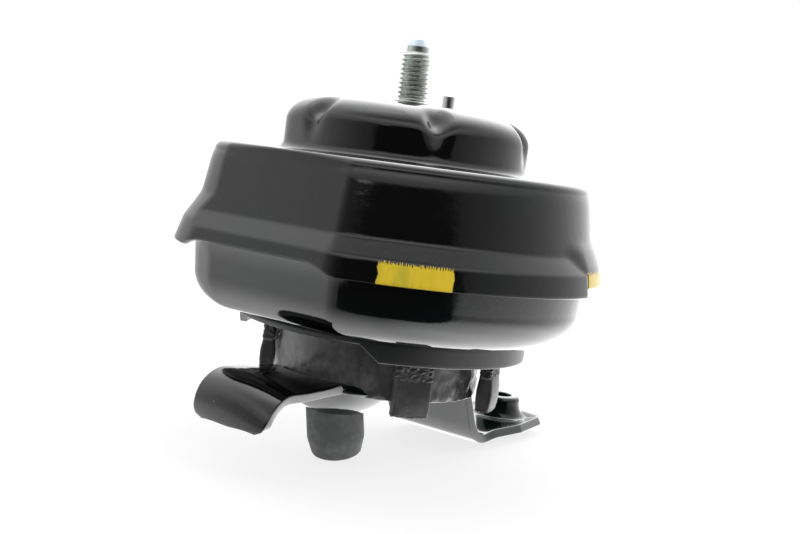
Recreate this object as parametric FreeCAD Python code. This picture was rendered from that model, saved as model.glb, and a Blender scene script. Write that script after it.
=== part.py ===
import FreeCAD, Part
import os
from math import acos, cos, degrees, radians, sin, sqrt, tan

# Engine mount with a pressed steel housing, a rubber spring inside and a strap bracket below.
# Millimetres, +Z along the stud. Heights here are taken from the cap's top face. The nodes are written
# with the origin on the stud's axis where its thread starts, which is stud_thread_start higher up.
# The housing's flat faces -Y and the bracket's arms run along -Y (front) and +Y (rear).
Vec = FreeCAD.Vector

# Clearances
running_gap = 0.3
sheet = 2.0
hydro_turn = -8.0
flute_turn = 20.0

# Upper housing: radius and flat are those of its top edge, and the wall's spread adds to both
housing_radius = 61.8
flat_depth = 5.3
housing_flat = housing_radius - flat_depth
recess_margin = 6.3
housing_recess_radius = housing_radius - recess_margin
mouth_margin = 15.8
housing_mouth_radius = housing_radius - mouth_margin

# Stud and locating pin
stud_radius = 4.9
stud_thread_start = 2.0
stud_thread_end = 17.5
stud_height = 22.3
pilot_radius = 3.65
pilot_length = 2.3
tip_radius = 2.2
collar_radius = 5.6
collar_bottom = 0.8
neck_radius = 4.5
stud_head_radius = 10.0
stud_head_height = 2.5
pin_radius = 2.0
pin_shank_radius = 2.4
pin_beyond_middle = 6.85
pin_height = 6.3
pin_head_radius = 3.2
pin_head_height = 1.2

# Top cap
cap_margin = 21.8
cap_wall_radius = housing_radius - cap_margin
cap_shoulder_share = 0.3125
cap_shoulder = cap_wall_radius * cap_shoulder_share
pin_offset = (cap_wall_radius - cap_shoulder) / 2 + pin_beyond_middle
cap_foot_round = 4.5
cap_flange_gap = 1.2
cap_flange_radius = housing_recess_radius - cap_flange_gap
flute_count = 6
flute_top_radius = 6.0
flute_foot_radius = 0.4
flute_foot_height = -14.0
flute_foot_out = 1.2
flute_top_height = 3.0
flute_top_in = 4.5

# Upper housing
housing_corner = 5.0
housing_top = -18.4
housing_edge_round = 2.6
housing_recess_depth = 2.0
wall_spread = 3.2
joggle_top = -40.6
joggle_bottom = -43.2
joggle_spread = 5.1
rim_spread = 7.7
flare_start = -35.5
flare_knee = -37.8
flare_knee_spread = 3.6
flare_top_spread = 5.4
flare_spread = 6.8
flare_rim_spread = 8.7
flare_shift = 1.15
flare_seam = -8.0
rim_bottom = -51.0
rim_step = 2.7
rim_left = -50.3
rim_left_inner = 24.0
rim_left_outer = 33.0
rim_step_inner = 19.3
rim_step_outer = 29.9
petal_start = 9.3
slit_width = 1.4
slit_height = 6.5

# Lower pan
pan_top = -44.4
pan_taper = 1.3
pan_corner = 9.0
pan_round = 11.0
pan_bottom = -70.0
pan_mouth_margin = 17.8
pan_mouth_radius = housing_radius - pan_mouth_margin

# Stop ring with its claws: the claws clear the rubber's skirt, and the flange laps under the pan's floor
core_inset = 0.4
core_radius = housing_radius / 2 - core_inset
skirt_thickness = 2.5
claw_clearance = 3.8
claw_thickness = 3.2
claw_outer_radius = core_radius + skirt_thickness + claw_clearance + claw_thickness
claw_step = 0.2
ring_mouth_radius = claw_outer_radius - claw_thickness - claw_step
ring_lap = 3.6
ring_radius = pan_mouth_radius + ring_lap
ring_thickness = 2.4
apron_bottom = -77.2
apron_half_angle = 52.0
apron_chamfer = 7.5
claw_width = 11.0
claw_bottom = -93.4
claw_half_spread = 28.0
buffer_top = -83.0
buffer_bulge = 0.8
buffer_side = 0.5
buffer_foot = 0.8

# Rubber spring, its core and its outer ring
core_top = -52.0
core_shoulder_in = 10.5
core_shoulder_radius = core_radius - core_shoulder_in
core_shoulder_drop = 6.0
skirt_bottom = -91.0
skirt_neck = -77.0
rubber_cap = 3.5
outer_ring_margin = 7.8
outer_ring_radius = housing_radius - outer_ring_margin
outer_ring_taper = 7.0
outer_ring_foot_radius = outer_ring_radius - outer_ring_taper
outer_ring_knee = -56.0
throat_margin = 1.2
rubber_throat_radius = ring_mouth_radius + throat_margin
rubber_throat = -66.6

# Orifice plates, decoupler and bellows
plate_thickness = 2.4
plate_bead = 2.2
decoupler_radius = 18.0
decoupler_thickness = 2.0
window_radius = 3.4
window_circle = 11.0
window_count = 6
channel_radius = 30.0
channel_width = 5.0
channel_depth = 1.6
bellows_thickness = 1.8
bellows_margin = 6.0
bellows_radius = cap_wall_radius - bellows_margin
bellows_top = -9.0
bellows_round = 7.0

# Bracket
strap = 3.2
strap_top = -86.4
core_bottom = strap_top
front_half_width = 14.4
rear_half_width = 18.5
widen_start = -30.0
widen_end = -12.0
front_reach = 68.0
front_bend_angle = 95.0
front_bend_radius = 10.0
front_leg = 0.25
front_lip_corner = 3.0
rear_bend_start = 26.4
rear_bend_radius = 7.0
drop_angle = 64.7
foot_bottom = -113.9
foot_bend_radius = 12.0
foot_reach = 91.5
foot_taper_start = 68.0
foot_end_half_width = 12.0
foot_corner = 5.0
dish_offset = -20.0
dish_radius = 19.0
dish_depth = 10.5
boss_offset = 80.4
boss_top = -102.5
boss_radius = 7.8
boss_base_radius = 8.9
boss_hole_radius = 4.19
rivet_offset = 8.0
rivet_radius = 4.0
rivet_head_radius = 7.0
rivet_head_height = 2.6
rivet_length_in_core = 16.0

# Rubber locating stub with its steel peg
stub_radius = 9.2
stub_tip_radius = 8.0
stub_lean = 14.0
stub_length = 15.4
stub_straight = 10.0
stub_tip_round = 1.0
peg_radius = 5.0
peg_length = 13.0


def turned(shape, angle):
    """The shape turned about the stud's axis by an angle in degrees."""
    copy = shape.copy()
    copy.rotate(Vec(0, 0, 0), Vec(0, 0, 1), angle)
    return copy


def revolved(edges, centre=Vec(0, 0, 0)):
    """A solid of revolution about the vertical line through centre, from edges in the XZ plane."""
    face = Part.Face(Part.Wire(edges))
    solid = face.revolve(Vec(0, 0, 0), Vec(0, 0, 1), 360)
    solid.translate(centre)
    return solid


def outline(points):
    """Closed chain of edges in the XZ plane. A point is (radius, height) or an arc's (mid, end) pair."""
    edges = []
    start = Vec(points[0][0], 0, points[0][1])
    here = start
    for point in points[1:]:
        if isinstance(point[0], tuple):
            middle = Vec(point[0][0], 0, point[0][1])
            there = Vec(point[1][0], 0, point[1][1])
            edges.append(Part.Arc(here, middle, there).toShape())
        else:
            there = Vec(point[0], 0, point[1])
            edges.append(Part.LineSegment(here, there).toShape())
        here = there
    if (here - start).Length > 1e-6:
        edges.append(Part.LineSegment(here, start).toShape())
    return edges


def round_corner(centre, radius, first, last):
    """The (mid, end) pair of an arc about centre, from the first to the last angle in degrees."""
    middle = radians((first + last) / 2)
    end = radians(last)
    return ((centre[0] + radius * cos(middle), centre[1] + radius * sin(middle)),
            (centre[0] + radius * cos(end), centre[1] + radius * sin(end)))


def flat_sided_wire(radius, flat, corner, height):
    """Plan outline of a round pressing with one flat towards -Y and rounded corners beside it."""
    corner_x = sqrt((radius - corner) ** 2 - (flat - corner) ** 2)
    corner_y = -(flat - corner)
    reach = radius / (radius - corner)
    on_round = Vec(corner_x * reach, corner_y * reach, height)
    half_way = Vec(corner_x / (radius - corner), corner_y / (radius - corner) - 1, 0)
    middle = Vec(corner_x, corner_y, height) + half_way.normalize() * corner
    on_flat = Vec(corner_x, -flat, height)

    def mirrored(point):
        return Vec(-point.x, point.y, point.z)

    return Part.Wire([
        Part.LineSegment(mirrored(on_flat), on_flat).toShape(),
        Part.Arc(on_flat, middle, on_round).toShape(),
        Part.Arc(on_round, Vec(0, radius, height), mirrored(on_round)).toShape(),
        Part.Arc(mirrored(on_round), mirrored(middle), mirrored(on_flat)).toShape(),
    ])


def flat_sided_solid(sections, radius, flat, corner):
    """Solid through (spread, height) sections of the flat-sided outline.

    A section may end in the spread of its flat and a shift towards -X, where these differ."""
    wires = []
    for section in sections:
        spread, height = section[:2]
        flat_spread, shift = section[2:] if len(section) > 2 else (spread, 0)
        wire = flat_sided_wire(radius + spread, flat + flat_spread, corner, height)
        wire.translate(Vec(-shift, 0, 0))
        wires.append(wire)
    return Part.makeLoft(wires, True, True)


def arc_sections(centre, radius, first, last, steps):
    """Points along an arc, as (spread, height) sections."""
    angles = [radians(first + (last - first) * step / steps) for step in range(steps + 1)]
    return [(centre[0] + radius * cos(angle), centre[1] + radius * sin(angle)) for angle in angles]


def band_spread(height):
    """Spread of the housing's outer face below the joggle."""
    share = (joggle_bottom - height) / (joggle_bottom - rim_bottom)
    return joggle_spread + (rim_spread - joggle_spread) * share


def make_stud():
    """Zinc-plated stud: head under the cap, neck, collar, thread, plain pilot and cone tip."""
    pilot_start = stud_height - (stud_height - stud_thread_end - pilot_length) - pilot_length
    return revolved(outline([
        (0, -sheet - stud_head_height),
        (stud_head_radius, -sheet - stud_head_height),
        (stud_head_radius, -sheet),
        (neck_radius, -sheet),
        (neck_radius, collar_bottom),
        (collar_radius, collar_bottom),
        (collar_radius, stud_thread_start),
        (stud_radius, stud_thread_start),
        (stud_radius, pilot_start),
        (pilot_radius, pilot_start),
        (pilot_radius, pilot_start + pilot_length),
        (tip_radius, stud_height),
        (0, stud_height),
    ]))


def make_pin():
    """Plain locating pin, headed under the cap, with a thicker shank pressed into it."""
    chamfer = 0.4
    return revolved(outline([
        (0, -sheet - pin_head_height),
        (pin_head_radius, -sheet - pin_head_height),
        (pin_head_radius, -sheet),
        (pin_shank_radius, -sheet),
        (pin_shank_radius, 0),
        (pin_radius, 0),
        (pin_radius, pin_height - chamfer),
        (pin_radius - chamfer, pin_height),
        (0, pin_height),
    ]), Vec(0, pin_offset, 0))


def cap_solid(inset):
    """The cap's outer form, or its inner form when inset is the sheet's thickness."""
    wall = cap_wall_radius - inset
    shoulder = cap_shoulder - inset
    centre = (cap_wall_radius - cap_shoulder, -cap_shoulder)
    ledge = housing_top - inset
    foot = cap_foot_round + inset
    foot_centre = (cap_wall_radius + cap_foot_round, housing_top + cap_foot_round)
    body = revolved(outline([
        (0, ledge - sheet),
        (0, -inset),
        (centre[0], -inset),
        round_corner(centre, shoulder, 90, 0),
        (wall, foot_centre[1]),
        round_corner(foot_centre, foot, 180, 270),
        (foot_centre[0], ledge - sheet),
    ]))
    for index in range(flute_count):
        body = body.cut(turned(flute(inset), flute_turn + 360 / flute_count * index))
    return body


def flute(inset):
    """Cone that presses a stiffening flute into the cap's shoulder, on the +X side."""
    foot = Vec(cap_wall_radius + flute_foot_out, 0, flute_foot_height)
    top = Vec(cap_wall_radius - flute_top_in, 0, flute_top_height)
    run = top - foot
    return Part.makeCone(inset + flute_foot_radius, flute_top_radius + inset, run.Length, foot, run)


def make_cap():
    """Domed cap with six flutes and a flange that lies in the housing's recess."""
    flange = Part.makeCylinder(cap_flange_radius, sheet, Vec(0, 0, housing_top - sheet))
    cap = cap_solid(0).fuse(flange).cut(cap_solid(sheet))
    below = Part.makeCylinder(cap_flange_radius + 10, 20, Vec(0, 0, housing_top - sheet - 20))
    stud_hole = Part.makeCylinder(neck_radius, 2 * sheet, Vec(0, 0, -1.5 * sheet))
    pin_hole = Part.makeCylinder(pin_shank_radius, 2 * sheet, Vec(0, pin_offset, -1.5 * sheet))
    return cap.cut(below).cut(stud_hole).cut(pin_hole).removeSplitter()


def housing_sections(inset, flared):
    """Sections of the housing's outer face, or of its inner face when inset is the sheet.

    The skirt round the back and the -X side is flared: it leaves the wall from higher up and ends further
    out, most of all towards -X. Its flat is that of the front skirt, so that the two join without a step."""
    edge_centre = (-housing_edge_round, housing_top - housing_edge_round)
    sections = arc_sections(edge_centre, housing_edge_round - inset, 90, 0, 4)
    middle = (joggle_top + joggle_bottom) / 2
    steps = [
        (flare_start, wall_at(flare_start), wall_at(flare_start), 0),
        (flare_knee, wall_at(flare_knee), flare_knee_spread, 0),
        (joggle_top, wall_spread, flare_top_spread, 0.2 * flare_shift),
        (middle, (wall_spread + joggle_spread) / 2 + 0.3, (flare_top_spread + flare_spread) / 2 + 0.1,
         0.3 * flare_shift),
        (joggle_bottom, joggle_spread, flare_spread, 0.45 * flare_shift),
        (rim_bottom, rim_spread, flare_rim_spread, flare_shift),
    ]
    for height, plain, wide, shift in steps:
        if flared:
            sections.append((wide - inset, height, plain - inset, shift))
        else:
            sections.append((plain - inset, height))
    return sections


def wall_at(height):
    """Spread of the housing's drafted wall above the joggle."""
    return wall_spread * (housing_top - height) / (housing_top - joggle_top)


def housing_shell(flared):
    """Wall of the housing with its plain or its flared skirt, and its top still closed."""
    outer = flat_sided_solid(housing_sections(0, flared), housing_radius, housing_flat, housing_corner)
    inner = flat_sided_solid(housing_sections(sheet, flared), housing_radius, housing_flat, housing_corner)
    return outer, outer.cut(inner)


def make_housing():
    """Upper housing: drafted wall with a flat, joggled skirt, stepped rim and a recess for the cap."""
    far = 2 * housing_radius
    outer, plain = housing_shell(False)
    flared = housing_shell(True)[1]
    behind = Part.makeBox(2 * far, far, far, Vec(-far, petal_start, -far))
    beside = Part.makeBox(far, far + petal_start, far, Vec(flare_seam - far, -far, -far))
    wide = behind.fuse(beside)
    recess_floor = housing_top - housing_recess_depth
    floor_plate = Part.makeCylinder(housing_recess_radius + sheet, sheet, Vec(0, 0, recess_floor - sheet))
    step_wall = Part.makeCylinder(housing_recess_radius + sheet, housing_recess_depth, Vec(0, 0, recess_floor))
    fill = floor_plate.fuse(step_wall).common(outer)
    housing = plain.cut(wide).fuse(flared.common(wide)).fuse(fill)
    housing = housing.cut(Part.makeCylinder(housing_recess_radius, 20, Vec(0, 0, recess_floor)))
    housing = housing.cut(Part.makeCylinder(housing_mouth_radius, 30, Vec(0, 0, recess_floor - 20)))
    return housing.cut(rim_trim())


def rim_trim():
    """What the rim lacks: it is shorter along the flat and round the back, and slit at the tab's end."""
    low = rim_bottom - 5
    short = rim_bottom + rim_step
    far = housing_radius + 30
    front = Part.makePolygon([
        Vec(-far, -far, low), Vec(-far, -far, rim_left), Vec(-rim_left_outer, -far, rim_left),
        Vec(-rim_left_inner, -far, short), Vec(rim_step_inner, -far, short),
        Vec(rim_step_outer, -far, rim_bottom), Vec(rim_step_outer + 10, -far, low),
        Vec(-far, -far, low),
    ])
    trim = Part.Face(front).extrude(Vec(0, far - housing_flat / 2, 0))
    beside = Part.makeBox(far, far, rim_left - low, Vec(-far, petal_start - far, low))
    back = Part.makeBox(2 * far, far, short - low, Vec(-far, petal_start, low))
    slit = Part.makeBox(far, slit_width, slit_height + 5, Vec(0, petal_start, rim_bottom - 5))
    return trim.fuse(beside).fuse(back).fuse(slit)


def pan_plan():
    """Radius and flat of the pan's top edge, inside the housing's skirt."""
    inward = band_spread(pan_top) - sheet - running_gap
    return housing_radius + inward, housing_flat + inward


def pan_sections(inset):
    """Sections of the pan's outer face, or of its inner face when inset is the sheet."""
    round_centre = (-pan_taper - pan_round, pan_bottom + pan_round)
    return [(-inset, pan_top), (-pan_taper - inset, round_centre[1])] + \
        arc_sections(round_centre, pan_round - inset, 0, -90, 6)[1:]


def make_pan():
    """Lower pan, nested in the housing's skirt, with a large bottom radius and a round mouth."""
    radius, flat = pan_plan()
    outer = flat_sided_solid(pan_sections(0), radius, flat, pan_corner)
    inner = flat_sided_solid(pan_sections(sheet), radius, flat, pan_corner)
    mouth = Part.makeCylinder(pan_mouth_radius, 20, Vec(0, 0, pan_bottom - 10))
    return outer.cut(inner).cut(mouth).removeSplitter()


def sector(radius, half_angle, low, high):
    """Wedge of a cylinder about +X, to pick an arc out of a ring."""
    reach = radius / cos(radians(half_angle / 2))
    points = [Vec(0, 0, low)]
    for share in (-1, -0.5, 0, 0.5, 1):
        angle = radians(half_angle * share)
        points.append(Vec(reach * cos(angle), reach * sin(angle), low))
    points.append(points[0])
    return Part.Face(Part.makePolygon(points)).extrude(Vec(0, 0, high - low))


def ring_band(outer, inner, low, high):
    """Plain ring."""
    height = high - low
    base = Vec(0, 0, low)
    return Part.makeCylinder(outer, height, base).cut(Part.makeCylinder(inner, height, base))


def make_stop_ring():
    """Stop ring under the pan: flange, two deep aprons with chamfered ends and four hanging claws."""
    ring = ring_band(ring_radius, ring_mouth_radius, pan_bottom - ring_thickness, pan_bottom)
    for side in (0, 180):
        ring = ring.fuse(turned(apron(), hydro_turn + side))
        for spread in (-claw_half_spread, claw_half_spread):
            ring = ring.fuse(turned(claw(), hydro_turn + side + spread))
    return ring.removeSplitter()


def apron():
    """Deep apron on the +X side, with its two lower corners cut off on the slant."""
    top = pan_bottom - ring_thickness
    band = ring_band(ring_radius, ring_radius - ring_thickness, apron_bottom, top)
    band = band.common(sector(2 * ring_radius, apron_half_angle, apron_bottom, top))
    for hand in (-1, 1):
        corner = Part.makePolygon([
            Vec(0, 0, top), Vec(0, -hand * apron_chamfer, apron_bottom), Vec(0, 0, apron_bottom - 1),
            Vec(0, hand * 5, apron_bottom - 1), Vec(0, hand * 5, top), Vec(0, 0, top),
        ])
        cutter = Part.Face(corner).extrude(Vec(2 * ring_radius, 0, 0))
        band = band.cut(turned(cutter, hand * apron_half_angle))
    return band


def claw():
    """One claw: a plate bent down from the flange's inner edge, on the +X side."""
    top = pan_bottom - ring_thickness / 2
    band = ring_band(claw_outer_radius, claw_outer_radius - claw_thickness, claw_bottom, top)
    width = Part.makeBox(claw_outer_radius + 5, claw_width, top - claw_bottom, Vec(0, -claw_width / 2, claw_bottom))
    return band.common(width)


def make_buffer(angle):
    """Rubber pad round a claw's tip: lens-shaped in section, slightly wider than the claw."""
    middle = claw_outer_radius - claw_thickness / 2
    half = claw_thickness / 2 + buffer_bulge
    low = claw_bottom - buffer_foot
    height = buffer_top - low
    lens_radius = (height ** 2 / 4 + half ** 2) / (2 * half)
    points = [(middle - 0.35 * half, low), (middle + 0.35 * half, low),
              ((middle + half, (low + buffer_top) / 2), (middle + 0.35 * half, buffer_top)),
              (middle - 0.35 * half, buffer_top),
              ((middle - half, (low + buffer_top) / 2), (middle - 0.35 * half, low))]
    lens = revolved(outline(points))
    full = claw_width + 2 * buffer_side
    width = Part.makeBox(lens_radius + claw_outer_radius, full, height, Vec(0, -full / 2, low))
    pad = lens.common(width)
    return turned(pad.cut(claw()), angle)


def make_core():
    """Metal core of the rubber spring, riveted to the bracket."""
    core = revolved(outline([
        (0, core_bottom), (core_radius, core_bottom), (core_radius, core_top - core_shoulder_drop),
        (core_shoulder_radius, core_top), (0, core_top),
    ]))
    return core.cut(rivet_shank())


def rivet_shank():
    """Room for the rivet in the core and in the strap."""
    low = strap_top - strap
    return Part.makeCylinder(rivet_radius, strap + rivet_length_in_core, Vec(0, rivet_offset, low))


def make_rivet():
    """Rivet that holds the core on the bracket, with a rounded head below."""
    low = strap_top - strap
    edge = rivet_head_height - 0.6
    head = revolved(outline([
        (0, low), (rivet_head_radius, low), (rivet_head_radius, low - 0.6),
        round_corner((rivet_head_radius - edge, low - 0.6), edge, 0, -90),
        (0, low - rivet_head_height),
    ]), Vec(0, rivet_offset, 0))
    return head.fuse(rivet_shank()).removeSplitter()


def cone_foot():
    """Top of the pan's floor, on which the outer ring's foot stands."""
    return pan_bottom + sheet


def make_outer_ring():
    """Steel cone that the rubber is bonded into, from the pan's floor up to the orifice plates."""
    top = plates_bottom()
    return revolved(outline([
        (outer_ring_foot_radius - sheet, cone_foot()), (outer_ring_foot_radius, cone_foot()),
        (outer_ring_radius, outer_ring_knee), (outer_ring_radius, top),
        (outer_ring_radius - sheet, top), (outer_ring_radius - sheet, outer_ring_knee),
    ]))


def plates_top():
    """Top of the orifice plates, under the bellows' bead and the housing's recess."""
    return housing_top - housing_recess_depth - sheet - plate_bead


def plates_bottom():
    """Underside of the lower orifice plate."""
    return plates_top() - 2 * plate_thickness


def make_rubber(bracket):
    """Rubber spring: cone between core and outer ring, a cap over the core and a skirt round it."""
    skirt = core_radius + skirt_thickness
    ring_inside = outer_ring_radius - sheet
    rubber = revolved(outline([
        (core_radius, skirt_bottom), (skirt, skirt_bottom), (skirt, skirt_neck),
        ((skirt + 1.3, rubber_throat - 3.0), (rubber_throat_radius, rubber_throat)),
        (outer_ring_foot_radius - sheet, cone_foot() + running_gap), (ring_inside, outer_ring_knee),
        (ring_inside, core_top + rubber_cap),
        ((core_radius + 9, core_top - 4), (core_radius - 2, core_top + rubber_cap - 2)),
        (core_shoulder_radius, core_top + rubber_cap), (0, core_top + rubber_cap), (0, core_top),
        (core_shoulder_radius, core_top), (core_radius, core_top - core_shoulder_drop),
    ]))
    return rubber.cut(bracket).removeSplitter()


def windows(low, height):
    """Ring of round windows over the decoupler."""
    holes = []
    for index in range(window_count):
        angle = radians(360 / window_count * index)
        centre = Vec(window_circle * cos(angle), window_circle * sin(angle), low)
        holes.append(Part.makeCylinder(window_radius, height, centre))
    return holes[0].fuse(holes[1:])


def make_plate(upper):
    """One orifice plate: half of the decoupler's cage, windows, and the channel in the lower one."""
    low = plates_bottom() + (plate_thickness if upper else 0)
    seam = plates_bottom() + plate_thickness
    plate = Part.makeCylinder(outer_ring_radius, plate_thickness, Vec(0, 0, low))
    cage_half = decoupler_thickness / 2 + running_gap
    cage = Part.makeCylinder(decoupler_radius + running_gap, 2 * cage_half, Vec(0, 0, seam - cage_half))
    plate = plate.cut(cage).cut(windows(low - 1, plate_thickness + 2))
    if upper:
        port_height = plate_thickness + 1
    else:
        port_height = plate_thickness - channel_depth
        channel = ring_band(channel_radius + channel_width / 2, channel_radius - channel_width / 2,
                            seam - channel_depth, seam)
        land = Part.makeBox(channel_radius + channel_width, 2, channel_depth, Vec(0, -1, seam - channel_depth))
        plate = plate.cut(channel.cut(land))
    port = Part.makeCylinder(channel_width / 2 - 0.3, port_height + 1,
                             Vec(channel_radius, 5 if upper else -5, low - (0 if upper else 0.5)))
    return plate.cut(port).removeSplitter()


def make_decoupler():
    """Loose rubber disc between the plates."""
    seam = plates_bottom() + plate_thickness
    return Part.makeCylinder(decoupler_radius, decoupler_thickness, Vec(0, 0, seam - decoupler_thickness / 2))


def make_bellows():
    """Thin rubber bellows under the cap, with its bead clamped by the housing's recess floor."""
    low = plates_top()
    bead_inside = housing_mouth_radius + 1
    outer = bellows_radius
    inner = bellows_radius - bellows_thickness
    centre_r = bellows_radius - bellows_round
    centre_z = bellows_top - bellows_round
    return revolved(outline([
        (inner, low), (outer_ring_radius, low), (outer_ring_radius, low + plate_bead),
        (bead_inside, low + plate_bead), (bead_inside - 1, low + bellows_thickness),
        (outer + 1, low + bellows_thickness), (outer, low + bellows_thickness + 1), (outer, centre_z),
        round_corner((centre_r, centre_z), bellows_round, 0, 90),
        (0, bellows_top), (0, bellows_top - bellows_thickness), (centre_r, bellows_top - bellows_thickness),
        round_corner((centre_r, centre_z), bellows_round - bellows_thickness, 90, 0),
    ]))


def strip_side(points, radii, side, thickness):
    """One face of a folded strip in the YZ plane: its corners and arcs, offset half a thickness to a side."""
    headings = []
    for first, second in zip(points, points[1:]):
        run = second - first
        headings.append(run * (1 / run.Length))
    offset = side * thickness / 2

    def left_of(heading):
        return Vec(0, -heading.z, heading.y)

    chain = [("line", points[0] + left_of(headings[0]) * offset)]
    for corner, radius, before, after in zip(points[1:-1], radii, headings, headings[1:]):
        turn = acos(before.dot(after))
        bend = 1 if (before.y * after.z - before.z * after.y) > 0 else -1
        tangent = radius * tan(turn / 2)
        start = corner - before * tangent
        centre = start + left_of(before) * (bend * radius)
        arm = start - centre
        reach = radius - bend * offset
        ends = []
        for share in (0, 0.5, 1):
            angle = bend * turn * share
            spun = Vec(0, arm.y * cos(angle) - arm.z * sin(angle), arm.y * sin(angle) + arm.z * cos(angle))
            ends.append(centre + spun * (reach / radius))
        chain.append(("line", ends[0]))
        chain.append(("arc", ends[1], ends[2]))
    chain.append(("line", points[-1] + left_of(headings[-1]) * offset))
    return chain


def strip_face(points, radii, thickness):
    """Face of a folded strip, from its middle line and its bend radii."""
    left = strip_side(points, radii, 1, thickness)
    right = strip_side(points[::-1], radii[::-1], 1, thickness)
    edges = []
    here = left[0][1]
    first = here
    for step in left[1:] + right + [("line", first)]:
        there = step[-1]
        if step[0] == "arc":
            edges.append(Part.Arc(here, step[1], there).toShape())
        elif (there - here).Length > 1e-6:
            edges.append(Part.LineSegment(here, there).toShape())
        here = there
    return Part.Face(Part.Wire(edges))


def strap_line():
    """Middle line of the bracket's strap, from the front arm's tip to the rear foot's end."""
    level = strap_top - strap / 2
    foot_level = foot_bottom + strap / 2
    front_turn = radians(front_bend_angle)
    tangent = front_bend_radius * tan(front_turn / 2)
    front_corner = -front_reach + strap / 2 + front_bend_radius - tangent
    leg = tangent + front_leg
    fall = (level - foot_level) / tan(radians(drop_angle))
    return [
        Vec(0, front_corner - leg * cos(front_turn), level - leg * sin(front_turn)),
        Vec(0, front_corner, level),
        Vec(0, rear_bend_start, level),
        Vec(0, rear_bend_start + fall, foot_level),
        Vec(0, foot_reach, foot_level),
    ]


def strap_plan():
    """Plan outline of the bracket: narrow front arm, wider middle and rear, tapered foot."""
    half = [
        Vec(front_half_width, -front_reach - 10, 0), Vec(front_half_width, widen_start, 0),
        Vec(rear_half_width, widen_end, 0), Vec(rear_half_width, foot_taper_start, 0),
        Vec(foot_end_half_width + foot_corner * 0.6, foot_reach - foot_corner, 0),
        Vec(foot_end_half_width - foot_corner * 0.4, foot_reach, 0),
    ]
    other = [Vec(-point.x, point.y, 0) for point in reversed(half)]
    plan = Part.Face(Part.makePolygon(half + other + [half[0]]))
    plan.translate(Vec(0, 0, foot_bottom - 10))
    return plan.extrude(Vec(0, 0, 60))


def dish_cap(inset):
    """Spherical cap of the dish under the strap, or the hollow in it."""
    ball_radius = (dish_radius ** 2 + dish_depth ** 2) / (2 * dish_depth)
    underside = strap_top - strap
    centre = Vec(0, dish_offset, underside - dish_depth + ball_radius)
    ball = Part.makeSphere(ball_radius - inset, centre)
    below = Part.makeCylinder(dish_radius + 5, dish_depth + 5, Vec(0, dish_offset, underside - dish_depth - 5))
    if inset:
        below = Part.makeCylinder(dish_radius + 5, dish_depth + 5 + strap,
                                  Vec(0, dish_offset, underside - dish_depth - 5))
    return ball.common(below)


def make_bracket():
    """Bracket pressed from one strap: front arm, dish, steep drop, rear foot and its drawn threaded boss."""
    radii = [front_bend_radius, rear_bend_radius, foot_bend_radius]
    strip = strip_face(strap_line(), radii, strap)
    strip.translate(Vec(-rear_half_width - 1, 0, 0))
    bracket = strip.extrude(Vec(2 * rear_half_width + 2, 0, 0)).common(strap_plan()).cut(lip_corners())
    bracket = bracket.fuse(dish_cap(0)).cut(dish_cap(strap))
    bracket = bracket.fuse(boss_solid()).cut(boss_hole()).cut(rivet_shank()).cut(stub_peg(0))
    return bracket.removeSplitter()


def lip_corners():
    """What the front arm's lip lacks at its two rounded lower corners."""
    low = strap_line()[0].z
    side = front_half_width - front_lip_corner
    block = Part.makeBox(2 * front_half_width + 10, 2 * strap + 4, front_lip_corner + 5,
                         Vec(-front_half_width - 5, -front_reach - 2, low - 5))
    keep = Part.makeBox(2 * side, 2 * strap + 4, front_lip_corner + 5, Vec(-side, -front_reach - 2, low - 5))
    for hand in (-1, 1):
        keep = keep.fuse(Part.makeCylinder(front_lip_corner, 2 * strap + 4,
                                           Vec(hand * side, -front_reach - 2, low + front_lip_corner), Vec(0, 1, 0)))
    return block.cut(keep)


def boss_solid():
    """Drawn collar on the foot."""
    base = foot_bottom + strap
    lip = 0.8
    flare = 2.0
    return revolved(outline([
        (0, foot_bottom + strap / 2), (boss_base_radius + flare, foot_bottom + strap / 2),
        (boss_base_radius + flare, base),
        ((boss_base_radius + flare * 0.3, base + flare * 0.3), (boss_base_radius, base + flare)),
        (boss_radius + 0.2, boss_top - lip), (boss_radius - lip + 0.2, boss_top), (0, boss_top),
    ]), Vec(0, boss_offset, 0))


def boss_hole():
    """Threaded hole through the boss, at its minor diameter."""
    return Part.makeCylinder(boss_hole_radius, 40, Vec(0, boss_offset, foot_bottom - 10))


def stub_frame(shape):
    """Puts a shape built downwards from the origin at the dish's bottom, leaning by stub_lean."""
    shape.rotate(Vec(0, 0, 0), Vec(1, 0, 0), stub_lean)
    shape.translate(Vec(0, dish_offset, strap_top - strap - dish_depth + strap / 2))
    return shape


def stub_peg(gap):
    """Steel peg of the stub."""
    return stub_frame(Part.makeCylinder(peg_radius + gap, peg_length, Vec(0, 0, -peg_length)))


def make_stub(bracket):
    """Rubber sleeve of the locating stub, tapered towards its closed tip."""
    sleeve = stub_frame(revolved(outline([
        (0, 0), (stub_radius, 0), (stub_radius, -stub_straight),
        (stub_tip_radius, -stub_length + stub_tip_round),
        (stub_tip_radius - stub_tip_round, -stub_length), (0, -stub_length),
    ])))
    dish_ball = dish_cap(0).fuse(dish_cap(strap))
    return sleeve.cut(dish_ball).cut(bracket).cut(stub_peg(0)).removeSplitter()


def write_part(name, shape):
    """Writes one node, after checking that it is sound."""
    if shape.isNull() or not shape.isValid():
        print("not sound:", name)
    shape = shape.copy()
    shape.translate(Vec(0, 0, -stud_thread_start))
    solids = shape.Solids
    shape = solids[0] if len(solids) == 1 else Part.makeCompound(solids)
    shape.exportStep("parts/" + name + ".step")
    box = shape.BoundBox
    print("%-20s solids %d faces %3d volume %9.1f z %.1f..%.1f" % (
        name, len(solids), len(shape.Faces), shape.Volume, box.ZMin, box.ZMax))


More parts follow.
